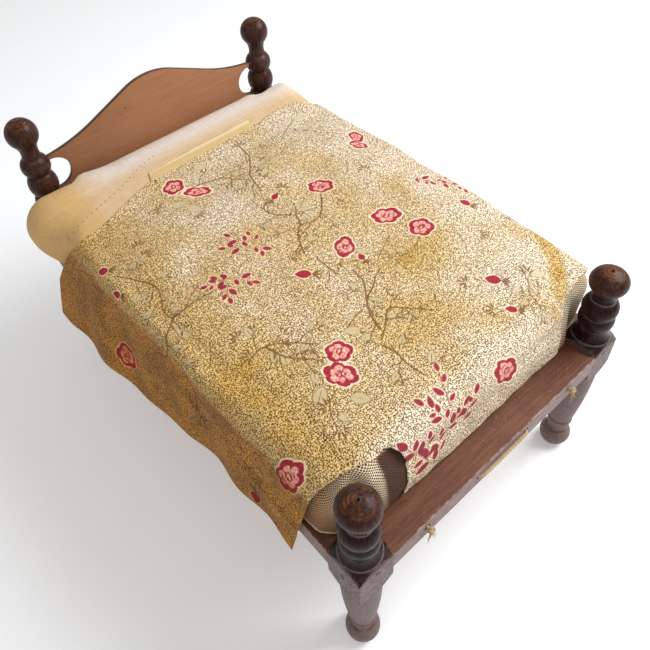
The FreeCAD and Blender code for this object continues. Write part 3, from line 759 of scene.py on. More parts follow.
def box_faces(low, high, step):
    """A box as a grid of quads: points, faces and each corner's flat place."""
    low, high = np.array(low, float), np.array(high, float)
    counts = np.maximum(2, np.round((high - low) / step).astype(int))
    index, points, faces, flat = {}, [], [], []

    def vertex(i):
        if i not in index:
            index[i] = len(points)
            points.append(low + (high - low) * np.array(i) / counts)
        return index[i]

    for axis in range(3):
        a, b = (axis + 1) % 3, (axis + 2) % 3
        for end in (0, counts[axis]):
            for p in range(counts[a]):
                for q in range(counts[b]):
                    ring = [(p, q), (p + 1, q), (p + 1, q + 1), (p, q + 1)]
                    if not end:
                        ring.reverse()
                    face = []
                    for r, s in ring:
                        i = [0, 0, 0]
                        i[axis], i[a], i[b] = end, r, s
                        face.append(vertex(tuple(i)))
                        place = points[face[-1]]
                        first, second = (0, 1) if axis == 2 else ((1, 2) if axis == 0 else (0, 2))
                        flat.append((place[first] * MM, place[second] * MM))
                    faces.append(tuple(face))
    return np.array(points), faces, np.array(flat)


def soften(points, low, high, corner, edge, low_edge):
    """Round the box's corners in plan and then its upper and lower edges."""
    centre = (np.array(low) + np.array(high)) / 2
    half = (np.array(high) - np.array(low)) / 2
    p = points - centre
    d = np.maximum(np.abs(p[:, :2]) - (half[:2] - corner), 0)
    biggest = d.max(1)
    norm = np.maximum(np.linalg.norm(d, axis=1), 1e-9)
    round_d = d * (biggest / norm)[:, None]
    p[:, :2] = np.sign(p[:, :2]) * (np.abs(p[:, :2]) - d + round_d)
    d = round_d
    reach = np.linalg.norm(d, axis=1)
    room = half[:2] - np.abs(p[:, :2])
    within = np.where(d.max(1) > 0, corner - reach, np.min(room, axis=1))
    normal = np.where((reach > 1e-6)[:, None], d / np.maximum(reach, 1e-9)[:, None], 0)
    axis = np.argmin(room, axis=1)
    plain = np.linalg.norm(normal, axis=1) < 0.5
    normal[plain, axis[plain]] = 1
    normal *= np.where(p[:, :2] < 0, -1, 1)
    edge = np.where(p[:, 2] > 0, edge, low_edge)
    a = np.maximum(edge - within, 0)
    c = np.maximum(np.abs(p[:, 2]) - (half[2] - edge), 0)
    both = (a > 0) & (c > 0)
    scale = np.where(both, np.maximum(a, c) / np.maximum(np.hypot(a, c), 1e-9), 1)
    p[:, :2] += normal * (a * scale - a)[:, None]
    p[:, 2] = np.sign(p[:, 2]) * (np.abs(p[:, 2]) - c + c * scale)
    return p + centre


def cushion(name, low, high, step, rounding, shape, materials):
    """A stuffed case: a rounded box, shaped by shape(points)."""
    points, faces, flat = box_faces(low, high, step)
    obj = new_mesh(name, shape(soften(points, low, high, *rounding)), faces, materials)
    set_uv(obj, flat)
    return obj


def stuff(obj, pressure, cap, spare, base):
    """Blow the case up as cloth a little larger than its filling."""
    start = coordinates(obj)
    hold = obj.vertex_groups.new(name="held")
    for index in np.nonzero(start[:, 2] < base + 1.0)[0]:
        hold.add([int(index)], 1.0, "REPLACE")
    cloth = obj.modifiers.new("cloth", "CLOTH")
    cloth.settings.quality = 5
    cloth.settings.mass = 0.15
    cloth.settings.tension_stiffness = 12
    cloth.settings.compression_stiffness = 12
    cloth.settings.shear_stiffness = 4
    cloth.settings.bending_stiffness = 0.08
    cloth.settings.use_pressure = True
    cloth.settings.uniform_pressure_force = pressure
    cloth.settings.shrink_min = -spare
    cloth.settings.effector_weights.gravity = 0
    cloth.settings.vertex_group_mass = "held"
    cloth.collision_settings.use_collision = False
    cloth.point_cache.frame_start, cloth.point_cache.frame_end = 1, 20
    for number in range(1, 21):
        bpy.context.scene.frame_set(number)
    apply_modifiers(obj)
    obj.vertex_groups.clear()
    bpy.context.scene.frame_set(1)
    moved = coordinates(obj) - start
    far = np.maximum(np.linalg.norm(moved, axis=1), 1e-9)
    moved *= (cap * np.tanh(far / cap) / far)[:, None]
    print(f"{obj.name}: moved up to {far.max():.2f} mm, mean {far.mean():.2f} mm")
    moved[:, 2] = np.where(start[:, 2] < base + 6, np.maximum(moved[:, 2], 0), moved[:, 2])
    move_to(obj, start + moved)
    obj.modifiers.new("finer", "SUBSURF").levels = 1
    apply_modifiers(obj)


def tick_shape(p):
    """Mattress: crowned, its left foot corner squashed and sagging."""
    x, y, z = p[:, 0], p[:, 1], p[:, 2]
    top = smooth(TICK_LOW[2], TICK_HIGH[2], z)
    lift = bed_height(x, y) - 2.2 - TICK_HIGH[2]
    slump = smooth(-60, -150, y) * smooth(-105, -138, x)
    z = z + top * (lift - 5.0 * slump)
    waist = np.sin(math.pi * np.clip((z - TICK_LOW[2]) / (TICK_HIGH[2] - TICK_LOW[2]), 0, 1))
    x = x * (1 - 0.02 * (1 - waist))
    x = np.where(x < 0, x + 9.0 * slump * top, x)
    between_posts = smooth(POST_X - HALF_STOCK + 3, POST_X - HALF_STOCK - 8, np.abs(x))
    y = y - (5.0 + 3.5 * (1 - top)) * between_posts * smooth(-120, -184, y)
    x = x + 8.0 * smooth(90, 132, x) * smooth(-140, -180, y) * top
    return np.stack([x, y, z], 1)


def bolster_shape(p):
    """Bolster: high at the back, its left end bulging past the rail."""
    x, y, z = p[:, 0], p[:, 1], p[:, 2]
    top = smooth(BOLSTER_LOW[2], BOLSTER_HIGH[2], z)
    crest = 217.0 - 6.0 * smooth(172, 112, y) + 3.0 * smooth(-60, -110, x) * smooth(150, 175, y)
    crest = crest + 2.0 * smooth(80, 120, x) * smooth(150, 175, y)
    z = z + top * (crest - BOLSTER_HIGH[2])
    bulge = smooth(136, 166, y) * smooth(-60, -136, x)
    belly = np.sin(math.pi * np.clip((z - 150) / (224 - 150), 0, 1) ** 1.25)
    x = x - 18.5 * bulge * belly
    between_posts = smooth(POST_X - HALF_STOCK - 2, POST_X - HALF_STOCK - 16, np.abs(x))
    y = y + 9.0 * between_posts * smooth(150, 188, y) * top
    return np.stack([x, y, z], 1)


# ----------------------------------------------------------------- coverlet

FOOT_FOLD = 195.5
FOOT_ROUND = 15.0
FOLD_ROUND = 8.0
HEM_HEIGHT = COVER_LOW[2] + 0.5
SEAM_HEIGHT = TICK_LOW[2] + 2.4


def bed_height(x, y):
    """Height of the coverlet's upper side over the made bed."""
    foot = 9.5 * np.clip((60 - y) / 250, 0, 1.1) ** 2
    head = 2.6 * np.clip((y - 60) / 90, 0, 1) ** 2
    sides = 3.2 * np.clip(np.abs(x) / 140, 0, 1.1) ** 4 + 1.5 * smooth(-70, -135, x)
    corner = 7.0 * smooth(70, 140, x) * smooth(-105, -185, y)
    waves = 0.9 * ripple(x, y, 70, 5) + 0.3 * ripple(x, y, 26, 6)
    return 215.0 - foot - head - sides - corner + waves


def fold_at(side, v):
    """Distance of the side fold from the middle, and its roundness."""
    if side > 0:
        return 141.5 + 5.0 * smooth(-120, -185, v), FOLD_ROUND + 0 * v
    narrow = smooth(-55, -150, v)
    return 141.0 - 6.0 * narrow + 0.8 * np.sin(v / 23), FOLD_ROUND + 12 * narrow


def lean_at(side, v):
    """How far the drape swings out for each millimetre it drops."""
    hem = 146 + 19 * smooth(-110, 125, v) if side < 0 else 149 + 8 * smooth(-110, 125, v)
    return (hem - fold_at(side, v)[0]) / (207 - HEM_HEIGHT)


def hem_reach(side, v):
    """Flat distance from the middle to the hem."""
    fold, roundness = fold_at(side, v)
    drop = bed_height(side * fold, v) - HEM_HEIGHT + 0.9 * np.sin(v / 19 + side)
    return fold + drop * np.sqrt(1 + lean_at(side, v) ** 2) + 0.25 * roundness


def bend(t, radius):
    """Split a distance past a fold into its level and its hanging share."""
    t = np.asarray(t, float)
    level = np.where(t < radius, -((radius - t) ** 2) / (4 * radius), 0)
    level = np.where(t < -radius, t, level)
    hang = np.where(t > -radius, (t + radius) ** 2 / (4 * radius), 0)
    return level, np.where(t > radius, t, hang)


def drape(u, v):
    """Where the flat cloth's point (u, v) lies on the made bed."""
    side_sign = np.where(u < 0, -1.0, 1.0)
    x, z_drop = np.zeros_like(u), np.zeros_like(u)
    fold_x = np.zeros_like(u)
    for side in (-1, 1):
        on = side_sign == side
        fold, roundness = fold_at(side, v[on])
        level, hang = bend(np.abs(u[on]) - fold, roundness)
        lean = lean_at(side, v[on])
        long = np.sqrt(1 + lean**2)
        wave = ripple(v[on], hang * 0.35, 58, 11 + side) * 2.2 * smooth(8, 75, hang)
        x[on] = side * (fold + level + hang * lean / long + wave)
        z_drop[on] = hang / long
        fold_x[on] = side * fold
    level, hang = bend(-v - FOOT_FOLD, FOOT_ROUND)
    sag = 1.2 * ripple(u, hang * 0.5, 60, 21) * smooth(4, 40, hang)
    y = -(FOOT_FOLD + level + 0.9 + sag * 0.5)
    under_x = np.clip(u, -np.abs(fold_x), np.abs(fold_x))
    z = bed_height(under_x, np.maximum(v, -FOOT_FOLD)) - z_drop - hang
    # stay outside the rail, and further down outside the cord on its face
    clear_x = FRAME_X + 1.8 - 12 * smooth(TICK_LOW[2] + 4, TICK_LOW[2] + 24, z)
    clear_x = clear_x + 3.2 * smooth(RAIL_TOP + 3, RAIL_TOP - 5, z)
    x = np.where(np.abs(u) > 150, side_sign * np.maximum(np.abs(x), clear_x), x)
    return np.stack([x, y, z], 1)


def outline():
    """The coverlet's cut edge, laid flat, counter-clockwise."""
    left_v = np.linspace(157, -160, 60)
    right_v = np.linspace(-170, 140, 50)
    left = np.stack([-hem_reach(-1, left_v), left_v], 1)
    right = np.stack([hem_reach(1, right_v), right_v], 1)
    foot_left = [(-176, -168), (-140, -174), (-112, -180), (-95, -186)]
    notch = [(-90, -186), (-85, -184.5), (-80.5, -187), (-77, -195), (-75.5, -210), (-76, -228)]
    notch.append((-78.5, -249))
    flap = [(-50, -250), (-10, -249), (30, -250.2), (70, -249.2), (87, -249.6)]
    foot_right = [(89, -226), (87.5, -206), (90, -195), (101, -188.5), (118, -183.5), (136, -180.5)]
    foot_right.append((150, -178))
    head = [(150, 131), (141, 131), (126, 140), (101, 145.5), (84, 143), (66, 138.5), (65, 150.5)]
    head += [(14, 150), (-49, 147.5), (-52, 138), (-78, 130.5), (-103, 121), (-120, 116), (-141, 118)]
    head += [(-169, 139), (-196, 154)]
    return np.vstack([left, foot_left, notch, flap, foot_right, right, head])


def inside(points, polygon):
    """Which points lie inside the polygon."""
    hit = np.zeros(len(points), bool)
    x, y = points[:, 0], points[:, 1]
    for (ax, ay), (bx, by) in zip(polygon, np.roll(polygon, -1, axis=0)):
        crosses = (ay > y) != (by > y)
        if ay != by:
            hit ^= crosses & (x < (bx - ax) * (y - ay) / (by - ay) + ax)
    return hit


def nearest_on(points, polygon):
    """Each point moved to the closest point of the polygon."""
    best = np.full(len(points), 1e9)
    out = points.copy()
    for a, b in zip(polygon, np.roll(polygon, -1, axis=0)):
        along = b - a
        t = np.clip(((points - a) @ along) / max(along @ along, 1e-9), 0, 1)
        place = a + t[:, None] * along
        distance = np.linalg.norm(points - place, axis=1)
        closer = distance < best
        best[closer], out[closer] = distance[closer], place[closer]
    return out


def cut_cloth(polygon, step):
    """A quad grid trimmed to the polygon: flat points and faces."""
    low, high = polygon.min(0) - step, polygon.max(0) + step
    us, vs = np.arange(low[0], high[0], step), np.arange(low[1], high[1], step)
    grid_u, grid_v = np.meshgrid(us, vs, indexing="ij")
    flat = np.stack([grid_u.ravel(), grid_v.ravel()], 1)
    i, j = np.meshgrid(np.arange(len(us) - 1), np.arange(len(vs) - 1), indexing="ij")
    i, j = i.ravel(), j.ravel()
    centre = np.stack([us[i] + step / 2, vs[j] + step / 2], 1)
    keep = inside(centre, polygon)
    i, j = i[keep], j[keep]
    n = len(vs)
    quads = np.stack([i * n + j, (i + 1) * n + j, (i + 1) * n + j + 1, i * n + j + 1], 1)
    used, quads = np.unique(quads, return_inverse=True)
    quads = quads.reshape(-1, 4)
    flat = flat[used]
    rim = np.bincount(quads.ravel(), minlength=len(flat)) < 4
    flat[rim] = nearest_on(flat[rim], polygon)
    return flat, quads


# Motifs of the print, in millimetres on the flat cloth, and turns in radians.

# place, size, turn, number of lobes, height over width
ROSES = (
    ((-42, 117), 11.5, 1.2, 5, 0.84),
    ((-30, 97), 12.5, -0.5, 5, 0.58),
    ((49, 24), 11.5, -1.0, 6, 0.84),
    ((124, 59), 9.5, 1.2, 5, 0.70),
    ((115, 46), 10.0, -1.2, 5, 0.66),
    ((62, -42), 12.5, -0.6, 6, 0.76),
    ((72, -71), 10.8, 0.4, 5, 0.93),
    ((13, -45), 11.0, 0.88, 4, 0.80),
    ((-211, 43), 16.0, -0.6, 5, 0.72),
    ((-146, -153), 18.5, -0.38, 6, 0.56),
    ((-58, -116), 9.8, -0.9, 5, 0.92),
    ((-69, -130), 11.8, -0.95, 6, 0.82),
    ((23, -208), 17.0, -1.1, 6, 0.60),
    ((186, -60), 10.0, 0.3, 5, 0.80),
    ((205, 60), 10.5, 1.3, 6, 0.78),
)

# place, turn, length
BUDS = (
    ((14, -66), 1.4, 8), ((-25, -50), 2.4, 13), ((8, 39), 0.4, 9), ((-134, 70), 2.4, 11),
    ((-142, 40), 2.0, 10), ((-214, -118), 3.1, 14), ((60, -174), 2.2, 9), ((73, -149), 2.2, 12),
    ((124, -78), 1.9, 10), ((142, -70), 0.4, 9), ((200, 0), 0.8, 10), ((176, 92), 2.4, 10),
    ((214, -120), 2.9, 10),
)

# points of the stem, number of blades, their length
SPRIGS = (
    ([(-42, 6), (-48, 12), (-55, 18)], 3, 8), ([(-40, 12), (-43, 20), (-45, 26)], 2, 8),
    ([(-38, 4), (-36, -1), (-37, -4)], 2, 7.5), ([(-34, 8), (-33, 16)], 1, 7),
    ([(-72, -9), (-80, -6), (-88, -4)], 4, 8), ([(-76, -10), (-79, -4)], 1, 8),
    ([(-70, -12), (-66, -18), (-62, -24)], 3, 8), ([(-76, -14), (-82, -20), (-84, -25)], 3, 8),
    ([(112, -18), (126, -38), (140, -62)], 7, 7), ([(128, -38), (144, -48)], 3, 6.5),
    ([(134, -56), (146, -80), (150, -96)], 6, 7), ([(118, -22), (122, -36)], 3, 6.5),
    ([(-37, -205), (-40, -194), (-45, -182)], 5, 8.5), ([(-31, -194), (-26, -182), (-20, -171)], 3, 8),
    ([(-38, -217), (-29, -212), (-21, -205)], 4, 10), ([(-22, -225), (-16, -214), (-9, -203)], 4, 10),
    ([(-48, -238), (-60, -222), (-69, -206), (-72, -199)], 7, 12), ([(-58, -226), (-54, -208)], 3, 9),
    ([(-46, -230), (-43, -216)], 3, 9), ([(168, -10), (184, 10), (206, 16)], 8, 7),
    ([(180, -150), (200, -140), (222, -146)], 8, 7),
)

# place, turn, length
LEAVES = (
    ((-26, 126), 1.0, 12), ((-24, 116), -0.2, 13), ((-14, 128), -0.6, 12), ((22, 74), 0.5, 13),
    ((38, 78), 0.4, 13), ((30, 92), -0.7, 13), ((-58, 94), -0.3, 14), ((-50, 82), -0.9, 13),
    ((-112, 54), 0.4, 12), ((86, 122), 0.2, 14), ((100, 122), -0.3, 13), ((98, 104), 0.3, 13),
    ((-96, -137), 0.6, 15), ((-76, -146), -0.9, 14), ((-12, -96), -1.1, 12), ((-90, -100), 1.2, 12),
    ((-14, -118), -0.4, 13), ((-34, -112), 2.6, 12), ((96, -158), -0.6, 12), ((20, 10), 0.8, 10),
)

# place, turn
TUFTS = (
    ((-104, 72), 1.4), ((-107, 58), 0.2), ((-112, 119), 0.5), ((-180, -54), 2.6), ((-103, -77), 2.6),
    ((-101, -60), 1.9), ((-66, 98), 2.4), ((-91, -143), 2.0), ((-96, -158), -1.8), ((54, -134), 2.2),
    ((48, -164), 2.4), ((36, 124), 1.3), ((22, 44), 0.9), ((90, 12), 1.2), ((100, -106), -0.9),
    ((94, -156), 0.9), ((-12, -22), -1.9), ((136, -112), 0.6), ((-48, 70), -1.4),
)

BOLD, FAINT = 0.95, 0.55

# width of the stem, its points
VINES = (
    (BOLD, [(36, 126), (33, 106), (24, 92), (14, 78), (8, 54)]),
    (BOLD, [(-30, 106), (-14, 102), (-3, 97), (4, 84), (10, 72)]),
    (BOLD, [(42, 16), (36, 8), (27, -2), (16, -7), (3, -4), (-6, -12), (-14, -27)]),
    (BOLD, [(3, -4), (8, 8), (0, 18), (-5, 30), (-2, 38), (7, 40)]),
    (BOLD, [(-11, -39), (-11, -62)]),
    (BOLD, [(0, -68), (-2, -82), (-12, -95), (-20, -108), (-24, -120)]),
    (BOLD, [(8, -84), (0, -90), (-12, -95)]),
    (FAINT, [(48, -60), (34, -66), (20, -74)]),
    (FAINT, [(62, -78), (46, -84), (28, -78)]),
    (BOLD, [(-30, -128), (-20, -122), (-6, -112), (6, -122), (16, -134)]),
    (FAINT, [(78, -82), (86, -92), (90, -104)]),
    (
        BOLD,
        [(-133, 60), (-123, 40), (-117, 26), (-120, 12), (-125, 2), (-123, -10), (-106, -10), (-90, -12)],
    ),
    (BOLD, [(-123, -10), (-134, -18), (-146, -30), (-148, -48), (-164, -57), (-183, -57), (-202, -64)]),
    (BOLD, [(-140, -26), (-154, -24), (-160, -12)]),
    (FAINT, [(-164, -59), (-172, -84), (-184, -106), (-190, -128)]),
    (BOLD, [(-104, -78), (-92, -77), (-78, -86), (-64, -102)]),
    (BOLD, [(-92, -77), (-86, -95), (-74, -110)]),
    (BOLD, [(-33, -130), (-30, -142), (-31, -154), (-29, -168)]),
    (FAINT, [(-78, -136), (-90, -142), (-98, -158)]),
    (FAINT, [(60, -134), (66, -146)]),
    (FAINT, [(96, -148), (88, -162), (78, -172), (74, -190)]),
    (FAINT, [(50, -166), (66, -174), (80, -186), (82, -204)]),
    (FAINT, [(100, 122), (84, 114), (70, 104)]),
    (FAINT, [(119, 68), (104, 84), (96, 104)]),
    (FAINT, [(-142, -144), (-152, -130), (-172, -120), (-190, -118)]),
    (FAINT, [(-150, -168), (-164, -160), (-186, -150)]),
    (FAINT, [(-207, 32), (-190, 16), (-172, 4), (-156, -8)]),
    (FAINT, [(-160, 108), (-154, 92), (-150, 80)]),
    (FAINT, [(-172, 70), (-160, 58), (-150, 48)]),
    (FAINT, [(160, 100), (180, 70), (196, 40), (204, 10)]),
    (FAINT, [(170, -30), (190, -60), (206, -100), (200, -140)]),
)


def print_cloth(flat):
    """Lay out the printed motifs on the flat cloth."""
    ink = Print(flat[:, 0], flat[:, 1])
    for at, size, turn, petals, squash in ROSES:
        ink.rose(at, size, turn, petals, squash)
    for at, turn, length in BUDS:
        ink.bud(at, turn, length)
    for points, count, length in SPRIGS:
        ink.sprig(points, "wine", count, length, 0.56 * length)
    for at, turn, length in LEAVES:
        ink.blade("leaf", at, length, 0.62 * length, turn)
        tip = (at[0] + 0.8 * length * math.cos(turn), at[1] + 0.8 * length * math.sin(turn))
        ink.line("stem", np.array([at, tip]), 0.3)
    for at, turn in TUFTS:
        for lean in (-1.0, -0.5, 0.0, 0.5, 1.0):
            way = turn + 1.15 * lean
            start = (at[0] + 2.2 * math.cos(way), at[1] + 2.2 * math.sin(way))
            ink.blade("stem", start, 7.5 - 2.0 * abs(lean), 1.15, way)
    for seed, (width, points) in enumerate(VINES, start=40):
        ink.vine(points, width, seed)
    for at in ((-50, 133), (-5, 138)):
        ink.line("stem", np.array([at, (at[0] + 2.0, at[1] + 7.5)]), 1.5)
    u, v = flat[:, 0], flat[:, 1]
    strip = np.maximum(np.abs(u - 6.5) - 58.5, 136.5 + 0.03 * (u + 50) - v)
    ink.field["selvage"] = np.clip(strip, -5, 5)
    ink.field["gold"] = stain_and_shade_cloth(u, v)
    return ink.field


# place, reach across and along, strength; below 0 the cloth stayed pale
STAINS = (
    ((42, -90), (26, 18), 0.40),
    ((-6, -134), (30, 20), 0.34),
    ((-116, -112), (22, 50), 0.30),
    ((-122, 100), (26, 20), 0.15),
    ((-14, -20), (30, 30), 0.10),
    ((84, -192), (10, 20), 0.55),
    ((96, -28), (12, 26), 0.22),
    ((-30, 56), (36, 26), -0.26),
    ((76, -142), (34, 30), -0.24),
    ((20, 118), (60, 18), -0.20),
    ((-102, 20), (16, 24), -0.14),
    ((-104, 148), (30, 12), 0.2),
)


CREASE = ((168, -112), (150, -120), (138, -140), (122, -164), (98, -184))


def stain_and_shade_cloth(u, v):
    """Yellowing of the cloth with painted shade and light: deep on the left (stain and painted shade),
    pale on the right and foot (painted light).
    """
    gold = 0.42 + 0.30 * smooth(-75, -122, u) - 0.30 * smooth(60, 115, u) - 0.34 * smooth(-168, -186, v)
    for at, reach, strength in STAINS:
        gold += strength * np.exp(-(((u - at[0]) / reach[0]) ** 2) - ((v - at[1]) / reach[1]) ** 2)
    # painted shade: a darker gold band along the crease at the right foot corner
    crease = Print(u, v)
    crease.line("stem", curve_through(CREASE, 2.0), 4.0)
    return gold + 0.85 * smooth(9, 0, crease.field["stem"])


# ------------------------------------------------------------- build bedding


def say(piece, body, slot, *nodes):
    """Body the piece rides on and the CAD nodes it stands for; slot, its finish, is not used."""
    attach(piece, body)
    if nodes:
        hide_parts(*nodes)


POST_WOOD = post_wood()
RAIL_WOOD = rail_wood()
BOARD_WOOD = headboard_wood()
PEG_WOOD = peg_wood()
HOMESPUN = homespun()
LINEN = linen()
PRINT = chintz()
BACKING = plain_cloth("coverlet_back", (0.66, 0.52, 0.32), (0.50, 0.34, 0.17))
HEMP = hemp("cord_hemp", (0.64, 0.48, 0.28), (0.36, 0.23, 0.11))
THREAD = hemp("seam_thread", (0.74, 0.66, 0.50), (0.50, 0.40, 0.26))
BROWN_THREAD = hemp("stitch_thread", (0.34, 0.21, 0.12), (0.18, 0.10, 0.05))

RAILS = ("foot_rail", "head_rail", "side_rail_left", "side_rail_right")
WOODS = {"headboard": BOARD_WOOD, "end_rail_pegs": PEG_WOOD, "side_rail_pegs": PEG_WOOD}
WOODS.update((rail, RAIL_WOOD) for rail in RAILS)

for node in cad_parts.values():
    for slot in node.material_slots:
        slot.material = WOODS.get(node.name, POST_WOOD)

TICK_CORNER, CASE_CORNER = 14, 13

rounding = (TICK_CORNER, 13, 5)
mattress = cushion("mattress", TICK_LOW, TICK_HIGH, 4.5, rounding, tick_shape, [HOMESPUN])
stuff(mattress, pressure=2.0, cap=3.0, spare=0.02, base=TICK_LOW[2])
say(mattress, "mattress", "tick_homespun", "mattress_tick", "mattress_filling")

rounding = (CASE_CORNER, 12, 8)
bolster = cushion("bolster", BOLSTER_LOW, BOLSTER_HIGH, 3.5, rounding, bolster_shape, [LINEN])
stuff(bolster, pressure=1.5, cap=2.0, spare=0.015, base=BOLSTER_LOW[2])
say(bolster, "bolster", "bolster_linen", "bolster_case", "bolster_filling")


def surface_of(obj):
    """A search tree of the object's faces, for rays and nearest points."""
    mesh = obj.data
    points = [vertex.co.copy() for vertex in mesh.vertices]
    return BVHTree.FromPolygons(points, [face.vertices[:] for face in mesh.polygons])


RAY_FROM, RAY_PAST = 0.03, 0.012  # metres outside the cloth, and inside it


def rest_on(points, flat, supports, gap):
    """Push the cloth out of what it lies on: up, sideways or footwards."""
    out = points.copy()
    trees = [surface_of(obj) for obj in supports]
    u, v = flat[:, 0], flat[:, 1]
    hanging = v < -FOOT_FOLD + 8
    # the whipped seam stands proud of the mattress at this height
    over_seam = 1.5 * np.exp(-(((out[:, 2] - SEAM_HEIGHT) / 6) ** 2))
    for chosen, axis, way in (
        ((np.abs(u) < 146) & (v > -FOOT_FOLD - 6), 2, 1),
        ((u < -132) & ~hanging, 0, -1),
        ((u > 132) & ~hanging, 0, 1),
        (hanging, 1, -1),
    ):
        away = Vector([way * (k == axis) for k in range(3)])
        for i in np.nonzero(chosen)[0]:
            start = Vector(out[i] * MM) + away * RAY_FROM
            for tree in trees:
                hit = tree.ray_cast(start, -away, RAY_FROM + RAY_PAST)[0]
                if hit is not None:
                    clearance = gap + (over_seam[i] if axis < 2 else 0)
                    out[i, axis] = way * max(way * out[i, axis], way * hit[axis] / MM + clearance)
    return out


CLOTH_GRID = 1.0
CLOTH_GAP = 0.9
CLOTH_THICKNESS = 0.6

flat, quads = cut_cloth(outline(), CLOTH_GRID)
points = rest_on(drape(flat[:, 0], flat[:, 1]), flat, [mattress, bolster], CLOTH_GAP)
coverlet = new_mesh("coverlet_cloth", points, quads.tolist(), [PRINT, BACKING])
set_uv(coverlet, flat * MM)
for name, values in print_cloth(flat).items():
    layer = coverlet.data.attributes.new(name, "FLOAT", "POINT")
    layer.data.foreach_set("value", values.astype(np.float32))
thicken = coverlet.modifiers.new("thicken", "SOLIDIFY")
thicken.thickness = CLOTH_THICKNESS * MM
thicken.offset = -1
thicken.material_offset = 1
apply_modifiers(coverlet)
say(coverlet, "coverlet", "coverlet_print", "coverlet")
size = flat.max(0) - flat.min(0)
corners = flat[quads]
spread_u, spread_v = corners[:, 2] - corners[:, 0], corners[:, 3] - corners[:, 1]
area = 0.5 * np.abs(spread_u[:, 0] * spread_v[:, 1] - spread_u[:, 1] * spread_v[:, 0]).sum()

# -------------------------------------------------------------------- cords


def spline_through(points, step):
    """Points along the NURBS spline that has those control points."""
    curve = bpy.data.curves.new("route", "CURVE")
    curve.dimensions = "3D"
    spline = curve.splines.new("NURBS")
    spline.points.add(len(points) - 1)
    for knot, point in zip(spline.points, points):
        knot.co = (*point, 1)
    spline.order_u = 3
    spline.use_endpoint_u = True
    spline.resolution_u = 16
    holder = bpy.data.objects.new("route", curve)
    mesh = bpy.data.meshes.new_from_object(holder)
    line = np.array([v.co[:] for v in mesh.vertices])
    bpy.data.objects.remove(holder)
    bpy.data.curves.remove(curve)
    bpy.data.meshes.remove(mesh)
    keep = np.concatenate([[True], np.linalg.norm(np.diff(line, axis=0), axis=1) > 1e-4])
    line = line[keep]
    length = travel_along(line)[-1]
    return points_at(line, np.linspace(0, length, max(3, int(length / step))))


CORD_RADIUS = 1.5
CORD_HEIGHT = 141.0
CORD_PITCH_X, CORD_PITCH_Y = 52.0, 60.0
CORD_PLACES_X = (-1.5, -0.5, 0.5, 1.5)
CORD_PLACES_Y = (-2.5, -1.5, -0.5, 0.5, 1.5, 2.5)
CORD_OFF_FACE = 1.8
CORD_EASE = 6.5
WEAVE_LIFT = 3.0
KNOT_OUT = 3.4


def lengthwise_route():
    """Knot at the foot, up and down the bed, knot at the foot."""
    reach = FRAME_Y + CORD_OFF_FACE
    places = [place * CORD_PITCH_X for place in CORD_PLACES_X]
    route = [(places[0], -FRAME_Y - KNOT_OUT, CORD_HEIGHT)]
    for index, x in enumerate(places[:-1]):
        way = 1 if index % 2 == 0 else -1
        y = way * reach
        route += [(x, -way * (FRAME_Y - 30), CORD_HEIGHT), (x, 0, CORD_HEIGHT)]
        route += [(x, y - way * CORD_EASE, CORD_HEIGHT), (x, y, CORD_HEIGHT)]
        route.append((x + CORD_EASE, y, CORD_HEIGHT))
        following = places[index + 1]
        route += [(following - CORD_EASE, y, CORD_HEIGHT), (following, y, CORD_HEIGHT)]
        route.append((following, y - way * CORD_EASE, CORD_HEIGHT))
    route += [(places[-1], 0, CORD_HEIGHT), (places[-1], -FRAME_Y - KNOT_OUT, CORD_HEIGHT)]
    return route


def crosswise_route():
    """Knot on the right, across and back over and under, knot on the right."""
    reach = FRAME_X + CORD_OFF_FACE
    crossings = [place * CORD_PITCH_X for place in CORD_PLACES_X]
    places = [place * CORD_PITCH_Y for place in CORD_PLACES_Y]
    route = [(FRAME_X + KNOT_OUT, places[0], CORD_HEIGHT)]
    for row, y in enumerate(places):
        way = -1 if row % 2 == 0 else 1
        route.append((-way * 108, y, CORD_HEIGHT))
        for column, x in enumerate(sorted(crossings, reverse=way < 0)):
            over = WEAVE_LIFT * (1 if (row + column) % 2 else -1) * way
            route.append((x - way * 5, y, CORD_HEIGHT + over))
            route.append((x + way * 5, y, CORD_HEIGHT + over))
        route.append((way * 108, y, CORD_HEIGHT))
        if row < len(places) - 1:
            following = places[row + 1]
            x = way * reach
            route += [(x - way * CORD_EASE, y, CORD_HEIGHT), (x, y, CORD_HEIGHT)]
            route += [(x, y + CORD_EASE, CORD_HEIGHT), (x, following - CORD_EASE, CORD_HEIGHT)]
            route += [(x, following, CORD_HEIGHT), (x - way * CORD_EASE, following, CORD_HEIGHT)]
    route.append((FRAME_X + KNOT_OUT, places[-1], CORD_HEIGHT))
    return route


def knot(centre, outward, seed):
    """An overhand knot with its end fraying out below it."""
    rng = np.random.default_rng(seed)
    out = np.array(outward, float)
    side = np.cross(out, [0, 0, 1.0])
    t = np.linspace(0, math.tau, 60)
    loop = (
        np.outer(np.sin(t) + 2 * np.sin(2 * t), side)
        + np.outer(np.cos(t) - 2 * np.cos(2 * t), [0, 0, 1.0])
        + np.outer(-1.2 * np.sin(3 * t), out)
    )
    tubes = strands(np.array(centre) + 0.72 * loop, 1.15, 6.0)
    for _ in range(13):
        angle = rng.uniform(-0.9, 0.9)
        length = rng.uniform(6, 12.5)
        start = np.array(centre) + rng.uniform(-0.9, 0.9) * side + out * rng.uniform(-0.4, 1.2)
        start[2] -= 1.5
        middle = start + side * math.sin(angle) * length * 0.3 + out * rng.uniform(0, 1.5)
        middle[2] -= length * 0.5
        end = middle + side * math.sin(angle) * length * rng.uniform(0.1, 0.5)
        end[2] -= length * 0.42
        path = curve_through([start, middle, end], 1.2)
        tubes.append(tube(path, 0.34, 5, np.linspace(1, 0.35, len(path))))
    return tubes


